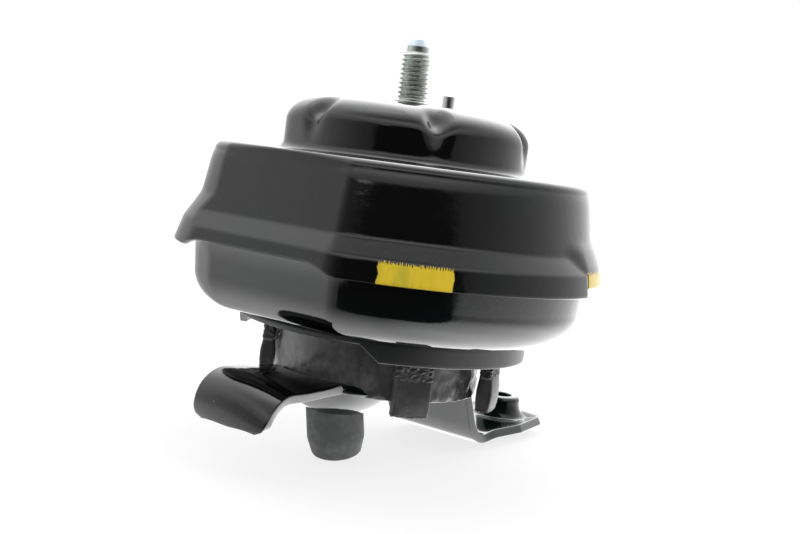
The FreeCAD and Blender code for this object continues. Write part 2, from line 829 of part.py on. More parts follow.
os.makedirs("parts", exist_ok=True)
bracket_solid = make_bracket()
write_part("stud", make_stud())
write_part("locating_pin", make_pin())
write_part("top_cap", make_cap())
write_part("upper_housing", make_housing())
write_part("lower_pan", make_pan())
write_part("stop_ring", make_stop_ring())
buffer_angles = [hydro_turn + side + spread for side in (0, 180) for spread in (-claw_half_spread, claw_half_spread)]
for number, buffer_angle in enumerate(buffer_angles, 1):
    write_part("claw_buffer_%d" % number, make_buffer(buffer_angle))
write_part("main_rubber", make_rubber(bracket_solid))
write_part("inner_core", make_core())
write_part("core_rivet", make_rivet())
write_part("outer_ring", make_outer_ring())
write_part("orifice_plate_lower", make_plate(False))
write_part("orifice_plate_upper", make_plate(True))
write_part("decoupler", make_decoupler())
write_part("bellows", make_bellows())
write_part("bracket", bracket_solid)
write_part("stub_peg", stub_peg(0))
write_part("locating_stub", make_stub(bracket_solid))
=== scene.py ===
import bpy, bmesh
import numpy as np
from math import sin, cos, tan, radians, atan2, pi
from mathutils import Matrix, Vector, noise


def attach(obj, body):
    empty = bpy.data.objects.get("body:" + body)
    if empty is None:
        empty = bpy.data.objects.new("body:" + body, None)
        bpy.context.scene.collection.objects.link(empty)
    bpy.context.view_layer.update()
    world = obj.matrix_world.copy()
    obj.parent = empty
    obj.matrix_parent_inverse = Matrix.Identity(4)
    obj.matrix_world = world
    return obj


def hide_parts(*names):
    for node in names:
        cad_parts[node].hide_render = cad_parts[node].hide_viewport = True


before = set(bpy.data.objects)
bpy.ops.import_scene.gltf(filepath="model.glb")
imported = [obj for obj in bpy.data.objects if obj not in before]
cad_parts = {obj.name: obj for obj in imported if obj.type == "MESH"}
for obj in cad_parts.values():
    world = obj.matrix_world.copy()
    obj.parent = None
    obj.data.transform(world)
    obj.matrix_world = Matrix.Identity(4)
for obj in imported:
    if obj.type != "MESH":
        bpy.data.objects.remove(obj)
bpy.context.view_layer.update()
mm = 0.001
capTop = -2.0      # heights below count from the cap's top face, the frame's from the start of the thread
photoWidth = 800   # pixels


def addObject(name, data):
    piece = bpy.data.objects.new(name, data)
    bpy.context.scene.collection.objects.link(piece)
    return piece


def smoothed(piece, angle):
    piece.data.shade_smooth()
    piece.data.set_sharp_from_angle(angle=radians(angle))


def meshFromGrid(name, grid, closeAlong=True, smoothAngle=45):
    # grid[i, j] is a point in millimetres; i runs around and meets itself, j along. Each cell is one quad,
    # and cells that have shrunk to a pole are merged, so the shell closes there.
    around, along = grid.shape[:2]
    points = grid.reshape(-1, 3) + (0, 0, capTop)
    i = np.arange(around)[:, None]
    j = np.arange(along if closeAlong else along - 1)[None, :]
    iNext, jNext = (i + 1) % around, (j + 1) % along
    quads = np.stack([i * along + j, iNext * along + j, iNext * along + jNext, i * along + jNext], axis=-1)
    mesh = bpy.data.meshes.new(name)
    mesh.from_pydata((points * mm).tolist(), [], quads.reshape(-1, 4).tolist())
    work = bmesh.new()
    work.from_mesh(mesh)
    bmesh.ops.remove_doubles(work, verts=work.verts, dist=2e-7)
    bmesh.ops.dissolve_degenerate(work, edges=work.edges, dist=1e-8)
    bmesh.ops.recalc_face_normals(work, faces=work.faces)
    work.to_mesh(mesh)
    work.free()
    piece = addObject(name, mesh)
    smoothed(piece, smoothAngle)
    return piece


def joined(name, pieces):
    # puts several shells of one pressing into one object
    with bpy.context.temp_override(active_object=pieces[0], selected_editable_objects=pieces):
        bpy.ops.object.join()
    pieces[0].name = name
    return pieces[0]


def cutAway(piece, makeCutter, smoothAngle):
    # takes the cutter's closed mesh out of the piece
    cutter = addObject("cutter", bpy.data.meshes.new("cutter"))
    work = bmesh.new()
    makeCutter(work)
    work.to_mesh(cutter.data)
    work.free()
    cut = piece.modifiers.new("cut", "BOOLEAN")
    cut.operation, cut.object, cut.solver = "DIFFERENCE", cutter, "MANIFOLD"
    done = bpy.data.meshes.new_from_object(piece.evaluated_get(bpy.context.evaluated_depsgraph_get()))
    piece.modifiers.clear()
    piece.data = done
    bpy.data.objects.remove(cutter)
    smoothed(piece, smoothAngle)


def filleted(corners, spacing=2.0, arcSteps=7):
    # profile through (x, z, radius) corners: straight runs divided at the spacing, arcs tangent to both runs
    points = []
    for k, (x, z, radius) in enumerate(corners):
        here = np.array([x, z], float)
        if k in (0, len(corners) - 1) or radius <= 0:
            points.append(here)
            continue
        before = np.array(corners[k - 1][:2], float) - here
        after = np.array(corners[k + 1][:2], float) - here
        lengthBefore, lengthAfter = np.linalg.norm(before), np.linalg.norm(after)
        before, after = before / lengthBefore, after / lengthAfter
        half = np.arccos(np.clip(before @ after, -1, 1)) / 2
        reach = min(radius / tan(half), lengthBefore * 0.97, lengthAfter * 0.97)
        radius = reach * tan(half)
        centre = here + unit(before + after) * radius / sin(half)
        first, last = here + before * reach - centre, here + after * reach - centre
        start, turn = atan2(first[1], first[0]), atan2(last[1], last[0]) - atan2(first[1], first[0])
        turn = (turn + pi) % (2 * pi) - pi
        for step in np.linspace(0, 1, arcSteps):
            points.append(centre + radius * np.array([cos(start + turn * step), sin(start + turn * step)]))
    dense = [points[0]]
    for first, second in zip(points, points[1:]):
        steps = max(1, int(np.linalg.norm(second - first) / spacing))
        dense += [first + (second - first) * s / steps for s in range(1, steps + 1)]
    return np.array(dense)


def unit(vectors):
    return vectors / np.maximum(np.linalg.norm(vectors, axis=-1, keepdims=True), 1e-9)


def signedPower(value, power):
    return np.sign(value) * np.abs(value) ** power


def smoothStep(low, high, value):
    t = np.clip((value - low) / (high - low), 0, 1)
    return t * t * (3 - 2 * t)


def bumpyNoise(points, scale, seed=0.0):
    # smooth noise at each point, about -1 to 1
    flat = points.reshape(-1, 3)
    values = [noise.noise(Vector((p[0] / scale + seed, p[1] / scale, p[2] / scale))) for p in flat]
    return np.array(values).reshape(points.shape[:-1])


def blurred(field, passes):
    # running average over neighbours on a grid that meets itself around
    for _ in range(passes):
        field = (np.roll(field, 1, axis=0) + 2 * field + np.roll(field, -1, axis=0)) / 4
        padded = np.pad(field, ((0, 0), (1, 1)), mode="edge")
        field = (padded[:, :-2] + 2 * field + padded[:, 2:]) / 4
    return field


def blurredOpen(field, passes):
    # the same on a grid with four edges
    for _ in range(passes):
        p = np.pad(field, 1, mode="edge")
        field = (p[:-2, 1:-1] + p[2:, 1:-1] + p[1:-1, :-2] + p[1:-1, 2:] + 4 * field) / 8
    return field


def anglesRound(steps):
    return np.linspace(0, 2 * pi, steps, endpoint=False)[:, None]


def anglesAround(coarse, fine, places):
    # a column of angles: the coarse count all round, the fine count inside each (middle, half width) place
    angles = list(np.linspace(-180, 180, coarse, endpoint=False))
    for middle, half in places:
        angles += list(np.linspace(middle - half, middle + half, fine))
    angles = np.unique(np.round((np.array(angles) + 180) % 360 - 180, 3))
    return np.radians(angles)[:, None]


def turned(theta, radius, height, centreY=0.0):
    # the points at radius and height, turned by theta about the vertical through (0, centreY)
    points = np.broadcast_arrays(radius * np.cos(theta), radius * np.sin(theta) + centreY, height)
    return np.stack(points, axis=-1)


def sideBySide(columns, rows):
    # joins (radius, height) columns of a profile, each repeated for all the rows where it is the same in them
    return [np.concatenate([column[part] + 0 * rows for column in columns], axis=1) for part in (0, 1)]


def outlineRadius(theta, radius, flat, corner):
    # distance from the axis to the outline at the angle theta. On the flat it is flat / cos of the angle
    # from -Y, on the corner arc it is the far root of the ray's crossing with the arc's circle.
    away = np.abs((theta + pi / 2 + pi) % (2 * pi) - pi)
    cornerX = np.sqrt((radius - corner) ** 2 - (flat - corner) ** 2)
    toFlat = np.arctan2(cornerX, flat)
    toRound = np.arctan2(cornerX, flat - corner)
    along = cornerX * np.sin(away) + (flat - corner) * np.cos(away)
    onCorner = along + np.sqrt(np.maximum(corner ** 2 - (radius - corner) ** 2 + along ** 2, 0))
    onFlat = flat / np.maximum(np.cos(away), 0.2)
    return np.where(away < toFlat, onFlat, np.where(away < toRound, onCorner, radius))


def surfaceNormals(grid):
    # unit normals from the cross product of the grid's two directions
    return unit(np.cross(np.roll(grid, -1, axis=0) - np.roll(grid, 1, axis=0), np.gradient(grid, axis=1)))


def sheetShell(grid, thickness):
    # a pressed sheet: the outer face, a rounded edge, the inner face a thickness away, and back. The inner
    # face lies on the side of the normals that point to the axis on the whole.
    normal = surfaceNormals(grid)
    inner = grid - normal * np.sign(np.sum(normal[..., :2] * grid[..., :2])) * thickness
    along = unit(np.gradient(grid, axis=1))

    def edge(column, direction):
        middle = (grid[:, column] + inner[:, column]) / 2
        steps = []
        for angle in np.linspace(0, pi, 6)[1:-1]:
            steps.append(middle + (grid[:, column] - middle) * signedPower(cos(angle), 0.6)
                         + along[:, column] * direction * 0.35 * thickness * sin(angle) ** 0.6)
        return np.stack(steps, axis=1)
    return np.concatenate([grid, edge(-1, 1), inner[:, ::-1], edge(0, -1)[:, ::-1]], axis=1)


def slab(name, middle, thickness, reach=0.6, power=0.5, smoothAngle=50):
    # a plate from its middle surface: top, rounded rim, underside, with a super-ellipse round the rim
    rows, across = middle.shape[:2]
    alongRows, alongAcross = np.gradient(middle, axis=0), np.gradient(middle, axis=1)
    normal = unit(np.cross(alongRows, alongAcross))
    alongRows, alongAcross = unit(alongRows), unit(alongAcross)
    steps = 5
    angle = np.linspace(0, pi / 2, steps + 1)[1:]
    out, up = np.sin(angle) ** power, np.maximum(np.cos(angle), 0) ** power
    up[-1] = 0
    flat, side = np.zeros(across), 2 * steps - 1
    loopOut = np.concatenate([flat, out, out[-2::-1], flat, -out, -out[-2::-1]])
    loopUp = np.concatenate([flat + 1, up, -up[-2::-1], flat - 1, -up, up[-2::-1]])
    columns = np.arange(across)
    loopAt = np.concatenate([columns, np.full(side, across - 1), columns[::-1], np.zeros(side, int)])
    rowAt = np.concatenate([np.zeros(steps, int), np.arange(rows), np.full(steps, rows - 1)])
    rowOut = np.concatenate([-out[::-1], np.zeros(rows), out])
    rowUp = np.concatenate([up[::-1], np.ones(rows), up])
    i, j = rowAt[:, None], loopAt[None, :]
    grid = (middle[i, j] + alongAcross[i, j] * (loopOut[None, :, None] * reach)
            + alongRows[i, j] * (rowOut[:, None, None] * reach)
            + normal[i, j] * (thickness / 2 * loopUp[None, :, None] * rowUp[:, None, None]))
    return meshFromGrid(name, grid.transpose(1, 0, 2), closeAlong=False, smoothAngle=smoothAngle)


# shader helpers

def newMaterial(name):
    material = bpy.data.materials.new(name)
    material.use_nodes = True
    nodes, links = material.node_tree.nodes, material.node_tree.links
    return {"material": material, "nodes": nodes, "links": links, "shader": nodes["Principled BSDF"]}


def addNode(tree, kind, **values):
    node = tree["nodes"].new(kind)
    for key, value in values.items():
        setattr(node, key, value)
    return node


def feed(tree, value, socket):
    # a number is set on the socket, three numbers are a colour, and anything else is wired to it
    if isinstance(value, (int, float)):
        socket.default_value = value
    elif isinstance(value, tuple):
        socket.default_value = (*value, 1)
    else:
        tree["links"].new(value, socket)


def setInputs(tree, node, values):
    for key, value in values.items():
        feed(tree, value, node.inputs[key])
    return node.outputs


def mathNode(tree, operation, *values):
    node = addNode(tree, "ShaderNodeMath", operation=operation)
    for socket, value in zip(node.inputs, values):
        feed(tree, value, socket)
    return node.outputs[0]


def times(tree, first, second):
    return mathNode(tree, "MULTIPLY", first, second)


def plus(tree, first, second):
    return mathNode(tree, "ADD", first, second)


def minus(tree, first, second):
    return mathNode(tree, "SUBTRACT", first, second)


def ramp(tree, value, low, high):
    # 0 below low, 1 above high, an S curve between
    node = addNode(tree, "ShaderNodeMapRange", interpolation_type="SMOOTHSTEP")
    return setInputs(tree, node, {"Value": value, "From Min": low, "From Max": high})[0]


def noiseNode(tree, vector, scale, detail=2.0, roughness=0.5):
    node = addNode(tree, "ShaderNodeTexNoise")
    values = {"Vector": vector, "Scale": scale, "Detail": detail, "Roughness": roughness}
    return setInputs(tree, node, values)["Fac"]


def mixColour(tree, factor, first, second):
    node = addNode(tree, "ShaderNodeMix", data_type="RGBA")
    for number, value in ((0, factor), (6, first), (7, second)):
        feed(tree, value, node.inputs[number])
    return node.outputs[2]


def unevenRoughness(tree, pattern, roughness, swing):
    # the pattern moves the roughness up and down by half the swing
    return mathNode(tree, "MULTIPLY_ADD", pattern, swing, roughness - swing / 2)


def objectPoints(tree):
    return addNode(tree, "ShaderNodeTexCoord").outputs["Object"]


def separated(tree, vector):
    node = addNode(tree, "ShaderNodeSeparateXYZ")
    feed(tree, vector, node.inputs[0])
    return node.outputs


def bumpInto(tree, height, strength, distance):
    bump = addNode(tree, "ShaderNodeBump")
    setInputs(tree, bump, {"Strength": strength, "Distance": distance, "Height": height})
    feed(tree, bump.outputs[0], tree["shader"].inputs["Normal"])


def newGroup(name, inputs, outputs):
    # node group on Object coordinates, with float inputs {name: default} and float outputs
    group = bpy.data.node_groups.new(name, "ShaderNodeTree")
    group.interface.new_socket("Vector", in_out="INPUT", socket_type="NodeSocketVector")
    for key, value in inputs.items():
        group.interface.new_socket(key, in_out="INPUT", socket_type="NodeSocketFloat").default_value = value
    for key in outputs:
        group.interface.new_socket(key, in_out="OUTPUT", socket_type="NodeSocketFloat")
    tree = {"nodes": group.nodes, "links": group.links, "group": group}
    return tree, addNode(tree, "NodeGroupInput").outputs, addNode(tree, "NodeGroupOutput").inputs


def useGroup(tree, group, vector, values):
    return setInputs(tree, addNode(tree, "ShaderNodeGroup", node_tree=group), {"Vector": vector, **values})


# camera and studio

camera = {"azimuth": 37.0, "pitch": 5.1, "roll": 7.35, "place": (231.3, -301.8, -20.5),
          "focalPixels": 1150.0, "sensor": 36.0, "clip": (0.01, 20.0)}


def makeCamera():
    a, p, r = (radians(camera[key]) for key in ("azimuth", "pitch", "roll"))
    right = Vector((cos(a), sin(a), 0))
    away = Vector((-sin(a), cos(a), 0))
    lift = away * sin(p) + Vector((0, 0, cos(p)))
    forward = away * cos(p) - Vector((0, 0, sin(p)))
    axisX = right * cos(r) + lift * sin(r)
    axisY = -right * sin(r) + lift * cos(r)
    data = bpy.data.cameras.new("camera")
    data.sensor_width = camera["sensor"]
    data.lens = camera["focalPixels"] / photoWidth * camera["sensor"]
    data.clip_start, data.clip_end = camera["clip"]
    item = addObject("camera", data)
    turn = Matrix((axisX, axisY, -forward)).transposed().to_4x4()
    item.matrix_world = Matrix.Translation(Vector(camera["place"]) * mm) @ turn
    bpy.context.scene.camera = item


# Floor and lamp, then the light tent that glossy surfaces mirror. Pairs say where a change starts and
# ends, in degrees of turn from the camera's side or of height above the horizon.
stage = {"floorLevel": -117.6, "floorHalf": 3.0, "floorWhite": 0.30, "floorGlow": 0.76,
         "floorRoughness": 0.9, "lampAt": (-0.1, 0.1, 0.75), "lampSize": 0.7, "overhead": 0.7,
         "diffuseLight": 0.85, "front": 0.13, "behind": 1.9, "behindPower": 1.1, "evenGain": 0.87,
         "rightGain": -0.15, "lowGain": 0.6, "lowFrom": (3, -13), "leftDark": 0.8,
         "leftFrom": (-85, -150), "leftTo": (-162, -180), "above": 1.4, "aboveFrom": (45, 85),
         "below": 2.8, "belowFrom": (-12, -90), "patch": 4.0, "patchTightness": 6.8, "patchHeight": 50,
         "lowSide": 2.0, "lowSideFrom": (-8, -30), "lowSideTo": (-55, -85),
         "upperFront": 0.55, "upperFrom": (19, 24), "upperTo": (46, 60), "band": 0.8, "bandAt": 40,
         "bandHalf": 9, "opening": 0.03, "openingMiddle": (5.5, -7.0), "openingHalf": (35.0, 28.0),
         "openingSquareness": 3.4, "openingFade": (0.72, 1.25), "gleam": 2.2, "gleamAt": (-21.0, 20.0),
         "gleamSize": (4.0, 1.0)}


def makeStage():
    # pale floor below the stub, white for the camera, with the object's faint shadow
    s = stage
    floor = addObject("floor", bpy.data.meshes.new("floor"))
    far, level = s["floorHalf"], s["floorLevel"] * mm
    corners = [(-far, -far, level), (far, -far, level), (far, far, level), (-far, far, level)]
    floor.data.from_pydata(corners, [], [(0, 1, 2, 3)])
    floor.visible_glossy = False
    tree = newMaterial("floorWhite")
    seen = addNode(tree, "ShaderNodeLightPath").outputs["Is Camera Ray"]
    setInputs(tree, tree["shader"], {"Base Color": (s["floorWhite"],) * 3, "Roughness": s["floorRoughness"],
                                     "Emission Color": (1, 1, 1),
                                     "Emission Strength": times(tree, seen, s["floorGlow"])})
    floor.data.materials.append(tree["material"])

    data = bpy.data.lights.new("overheadBox", "AREA")
    data.shape, data.size, data.size_y = "RECTANGLE", s["lampSize"], s["lampSize"]
    data.energy = s["overhead"] * pi * data.size * data.size_y
    lamp = addObject("overheadBox", data)
    lamp.location = s["lampAt"]
    lamp.rotation_euler = (-Vector(lamp.location)).to_track_quat("-Z", "Y").to_euler()
    lamp.visible_camera = lamp.visible_glossy = False
    makeWorld()


def makeWorld():
    # white for the camera, even for diffuse light, and for reflections the tent's brightness by direction
    s = stage
    world = bpy.data.worlds.new("studio")
    bpy.context.scene.world = world
    world.use_nodes = True
    tree = {"nodes": world.node_tree.nodes, "links": world.node_tree.links}
    tree["nodes"].clear()
    way = addNode(tree, "ShaderNodeTexCoord").outputs["Generated"]

    def along(x, y, z):
        node = addNode(tree, "ShaderNodeVectorMath", operation="DOT_PRODUCT")
        feed(tree, way, node.inputs[0])
        node.inputs[1].default_value = (x, y, z)
        return node.outputs["Value"]

    def oneMinus(value):
        return minus(tree, 1.0, value)

    def between(value, limits):
        return ramp(tree, value, radians(limits[0]), radians(limits[1]))

    def bump(first, last):
        return times(tree, between(height, first), oneMinus(between(height, last)))

    def added(level, mask, amount):
        return plus(tree, level, times(tree, mask, amount))

    def blended(level, mask, other):
        return plus(tree, times(tree, level, oneMinus(mask)), times(tree, mask, other))

    def farFrom(middle, half, power):
        # |turn - middle| ^ power + |height - middle| ^ power, each over its half size
        parts = []
        for value, centre, size in ((turn, middle[0], half[0]), (height, middle[1], half[1])):
            share = times(tree, plus(tree, value, -radians(centre)), 1 / radians(size))
            parts.append(mathNode(tree, "POWER", mathNode(tree, "ABSOLUTE", share), power))
        return plus(tree, *parts)

    a, tilt = radians(camera["azimuth"]), radians(s["patchHeight"])
    turn = mathNode(tree, "ARCTAN2", along(cos(a), sin(a), 0), along(sin(a), -cos(a), 0))
    height = mathNode(tree, "ARCSINE", along(0, 0, 1))
    right = mathNode(tree, "SINE", turn)
    behind = times(tree, oneMinus(mathNode(tree, "COSINE", turn)), 0.5)
    level = times(tree, mathNode(tree, "POWER", behind, s["behindPower"]), s["behind"])
    gain = plus(tree, times(tree, right, s["rightGain"]), s["evenGain"])
    gain = plus(tree, times(tree, between(height, s["lowFrom"]), s["lowGain"]), gain)
    leftSide = times(tree, between(turn, s["leftFrom"]), oneMinus(between(turn, s["leftTo"])))
    level = times(tree, plus(tree, level, s["front"]), gain)
    level = times(tree, level, oneMinus(times(tree, leftSide, s["leftDark"])))
    level = blended(level, between(height, s["belowFrom"]), s["below"])
    level = added(level, between(height, s["aboveFrom"]), s["above"])
    toPatch = along(-sin(a) * cos(tilt), cos(a) * cos(tilt), sin(tilt))
    near = mathNode(tree, "EXPONENT", times(tree, minus(tree, toPatch, 1.0), s["patchTightness"]))
    level = added(level, near, s["patch"])
    lowSide = times(tree, mathNode(tree, "MAXIMUM", right, 0.0), bump(s["lowSideFrom"], s["lowSideTo"]))
    level = added(level, lowSide, s["lowSide"])
    offBand = times(tree, plus(tree, height, -radians(s["bandAt"])), 1 / radians(s["bandHalf"]))
    band = mathNode(tree, "EXPONENT", times(tree, times(tree, offBand, offBand), -1.0))
    upper = times(tree, bump(s["upperFrom"], s["upperTo"]), s["upperFront"])
    inFront = mathNode(tree, "POWER", oneMinus(behind), 2.0)
    level = added(level, inFront, added(upper, band, s["band"]))
    fromOpening = farFrom(s["openingMiddle"], s["openingHalf"], s["openingSquareness"])
    level = blended(level, oneMinus(ramp(tree, fromOpening, *s["openingFade"])), s["opening"])
    fromGleam = farFrom(s["gleamAt"], s["gleamSize"], 2.0)
    level = added(level, mathNode(tree, "EXPONENT", times(tree, fromGleam, -1.0)), s["gleam"])

    path = addNode(tree, "ShaderNodeLightPath").outputs
    level = blended(level, oneMinus(path["Is Glossy Ray"]), s["diffuseLight"])
    level = blended(level, path["Is Camera Ray"], 1.0)
    light = addNode(tree, "ShaderNodeBackground")
    out = addNode(tree, "ShaderNodeOutputWorld")
    feed(tree, setInputs(tree, light, {"Strength": level, "Color": (1, 1, 1)})[0], out.inputs["Surface"])


# paint, steel and rubber

dustSpecks = {"Scale": 220.0, "Size": 0.06, "Share": 0.3}
smears = {"scale": 45.0, "from": 0.52, "to": 0.8}


def makeDustGroup():
    # small pale specks, one in some of the cells of a Voronoi pattern, and thin smears of dust
    tree, inside, out = newGroup("dustSpecks", dustSpecks, ("Specks", "Smear"))
    cells = addNode(tree, "ShaderNodeTexVoronoi", feature="F1")
    setInputs(tree, cells, {"Vector": inside["Vector"], "Scale": inside["Scale"]})
    speck = mathNode(tree, "LESS_THAN", cells.outputs["Distance"], inside["Size"])
    tint = addNode(tree, "ShaderNodeSeparateColor")
    feed(tree, cells.outputs["Color"], tint.inputs[0])
    chosen = mathNode(tree, "LESS_THAN", tint.outputs[0], inside["Share"])
    feed(tree, times(tree, speck, chosen), out["Specks"])
    cloud = noiseNode(tree, inside["Vector"], smears["scale"], 4.0, 0.6)
    feed(tree, ramp(tree, cloud, smears["from"], smears["to"]), out["Smear"])
    return tree["group"]


def makePeelGroup():
    # surface of sprayed or dipped paint over pressed steel: fine peel and long shallow waves
    tree, inside, out = newGroup("paintPeel", {"Fine": 420.0, "Long": 55.0, "Long share": 0.8}, ("Height",))
    fine = noiseNode(tree, inside["Vector"], inside["Fine"], 2.0)
    waves = noiseNode(tree, inside["Vector"], inside["Long"], 0.0)
    feed(tree, plus(tree, fine, times(tree, waves, inside["Long share"])), out["Height"])
    return tree["group"]


# The ring's colour is a lighter grey than the black paint. This is painted light: it stands in for the
# brightness the ring catches. Its rougher satin finish is the ring's own.
paint = {"colour": (0.0028, 0.0029, 0.0029), "roughness": 0.09, "cloudScale": 90.0, "cloud": 0.06,
         "ior": 1.58, "peelStrength": 0.35, "peelDepth": 0.00008, "ringColourPaintedLight": (0.018, 0.0182, 0.0182),
         "ringRoughness": 0.42, "teal": (0.0016, 0.0068, 0.0062), "tealScale": 22.0, "tealFrom": 0.5,
         "tealTo": 0.68, "dust": {"Scale": 150.0, "Size": 0.035, "Share": 0.16},
         "dustColour": (0.5, 0.5, 0.48), "dustShare": 0.5, "smear": 0.05}


def paintMaterial(name, roughness=paint["roughness"], tone=paint["colour"], brushed=False):
    # gloss black paint with peel, dust and, on the housing, marks brushed on in yellow
    p = paint
    tree = newMaterial(name)
    where = objectPoints(tree)
    dust = useGroup(tree, dustGroup, where, p["dust"])
    rough = unevenRoughness(tree, noiseNode(tree, where, p["cloudScale"], 3.0), roughness, p["cloud"])
    rough = plus(tree, rough, times(tree, dust["Smear"], p["smear"]))
    colour = mixColour(tree, times(tree, dust["Specks"], p["dustShare"]), tone, p["dustColour"])
    patches = ramp(tree, noiseNode(tree, where, p["tealScale"], 1.0), p["tealFrom"], p["tealTo"])
    colour = mixColour(tree, patches, colour, p["teal"])
    height = useGroup(tree, peelGroup, where, {})["Height"]
    if brushed:
        colour, rough, height = brushMarks(tree, where, colour, rough, height)
    setInputs(tree, tree["shader"], {"IOR": p["ior"], "Base Color": colour, "Roughness": rough})
    bumpInto(tree, height, p["peelStrength"], p["peelDepth"])
    return tree["material"]


# marks as (from, to, top edge): turns round the axis in degrees, and height in metres in the frame
yellow = {"marks": [(-55.5, -37.8, -0.0474), (8.0, 25.0, -0.0462)], "radius": 0.069, "stretch": 0.12,
          "colour": (1.0, 0.72, 0.02), "thinColour": (0.66, 0.55, 0.03), "thinShare": 0.75,
          "thin": (0.40, 0.66), "thinFrom": -40.5, "thinTo": -47.0, "bristleScale": 2800.0,
          "ragged": (0.36, 0.64), "ragHeight": 0.0011, "ragDrop": 0.0007, "topBlur": 0.00012,
          "sideBlur": 0.004, "wander": 0.03, "wanderScale": 300.0, "streakScale": 420.0,
          "roughness": 0.18, "body": 0.6}


def brushMarks(tree, where, colour, rough, height):
    # lays the marks over the paint. A bristle's line runs up the wall: the noise is drawn out along Z.
    m = yellow
    place = separated(tree, where)
    azimuth = mathNode(tree, "ARCTAN2", place["Y"], place["X"])
    lines = addNode(tree, "ShaderNodeCombineXYZ")
    lines = setInputs(tree, lines, {"X": times(tree, azimuth, m["radius"]),
                                    "Z": times(tree, place["Z"], m["stretch"])})
    ragged = ramp(tree, noiseNode(tree, lines[0], m["bristleScale"], 2.0, 0.6), *m["ragged"])
    streak = noiseNode(tree, lines[0], m["streakScale"], 3.0, 0.6)
    uneven = noiseNode(tree, where, m["wanderScale"], 2.0)
    turn = plus(tree, azimuth, mathNode(tree, "MULTIPLY_ADD", uneven, m["wander"], -m["wander"] / 2))
    mask = None
    for start, end, top in m["marks"]:
        edge = mathNode(tree, "MULTIPLY_ADD", ragged, m["ragHeight"], top - m["ragDrop"])
        below = ramp(tree, minus(tree, edge, place["Z"]), 0.0, m["topBlur"])
        afterStart = ramp(tree, minus(tree, turn, radians(start)), 0.0, m["sideBlur"])
        beforeEnd = ramp(tree, minus(tree, radians(end), turn), 0.0, m["sideBlur"])
        mark = times(tree, below, times(tree, afterStart, beforeEnd))
        mask = mark if mask is None else mathNode(tree, "MAXIMUM", mask, mark)
    bare = minus(tree, 1.0, ramp(tree, streak, *m["thin"]))
    leftPart = ramp(tree, azimuth, radians(m["thinFrom"]), radians(m["thinTo"]))
    thinHere = times(tree, bare, times(tree, leftPart, m["thinShare"]))
    colour = mixColour(tree, mask, colour, mixColour(tree, thinHere, m["colour"], m["thinColour"]))
    rough = plus(tree, rough, times(tree, mask, m["roughness"]))
    return colour, rough, plus(tree, height, times(tree, mask, plus(tree, streak, m["body"])))


steel = {"stretch": (1, 1, 30), "lineScale": 120.0, "cloudScale": 260.0, "cloud": (0.35, 0.7),
         "darker": 0.72, "swing": 0.16, "bump": 0.25, "bumpDepth": 0.00004}
blueTip = {"low": 0.0165, "high": 0.0185, "colour": (0.52, 0.60, 0.66)}


def steelMaterial(name, colour, roughness, tint=None):
    # plated or turned steel: fine turning lines round the stud's axis and cloudy plating
    tree = newMaterial(name)
    where = objectPoints(tree)
    stretch = addNode(tree, "ShaderNodeMapping")
    feed(tree, where, stretch.inputs["Vector"])
    stretch.inputs["Scale"].default_value = steel["stretch"]
    lines = noiseNode(tree, stretch.outputs[0], steel["lineScale"], 3.0, 0.6)
    cloud = noiseNode(tree, where, steel["cloudScale"], 4.0, 0.6)
    darker = tuple(c * steel["darker"] for c in colour)
    base = mixColour(tree, ramp(tree, cloud, *steel["cloud"]), darker, colour)
    if tint:
        high = ramp(tree, separated(tree, where)["Z"], tint["low"], tint["high"])
        base = mixColour(tree, high, base, tint["colour"])
    rough = unevenRoughness(tree, lines, roughness, steel["swing"])
    setInputs(tree, tree["shader"], {"Metallic": 1.0, "Base Color": base, "Roughness": rough})
    bumpInto(tree, plus(tree, lines, cloud), steel["bump"], steel["bumpDepth"])
    return tree["material"]


rubberFinish = {"dust": {"Scale": 320.0, "Size": 0.08, "Share": 0.25}, "dustShare": 0.35,
                "dustColour": (0.35, 0.35, 0.34), "bloomScale": 110.0, "bloom": (0.42, 0.75),
                "bloomGain": 2.2, "bloomLift": 0.004, "swing": 0.2, "bump": 0.5}


def rubberMaterial(name, colour, roughness, grain=700.0, depth=0.00012):
    # moulded rubber: fine grain, pale bloom in patches, dust
    f = rubberFinish
    tree = newMaterial(name)
    where = objectPoints(tree)
    dust = useGroup(tree, dustGroup, where, f["dust"])
    bloom = ramp(tree, noiseNode(tree, where, f["bloomScale"], 4.0, 0.65), *f["bloom"])
    base = mixColour(tree, bloom, colour, tuple(c * f["bloomGain"] + f["bloomLift"] for c in colour))
    base = mixColour(tree, times(tree, dust["Specks"], f["dustShare"]), base, f["dustColour"])
    fine = noiseNode(tree, where, grain, 3.0, 0.6)
    rough = unevenRoughness(tree, fine, roughness, f["swing"])
    setInputs(tree, tree["shader"], {"Base Color": base, "Roughness": rough})
    bumpInto(tree, fine, f["bump"], depth)
    return tree["material"]


cast = {"colour": (0.5, 0.5, 0.5), "roughness": 0.45, "darker": 0.75, "grainScale": 500.0, "bump": 0.4,
        "bumpDepth": 0.0001}


def castMaterial(name):
    # grainy die-cast metal
    tree = newMaterial(name)
    grain = noiseNode(tree, objectPoints(tree), cast["grainScale"], 4.0, 0.65)
    base = mixColour(tree, grain, tuple(c * cast["darker"] for c in cast["colour"]), cast["colour"])
    setInputs(tree, tree["shader"], {"Metallic": 1.0, "Base Color": base, "Roughness": cast["roughness"]})
    bumpInto(tree, grain, cast["bump"], cast["bumpDepth"])
    return tree["material"]


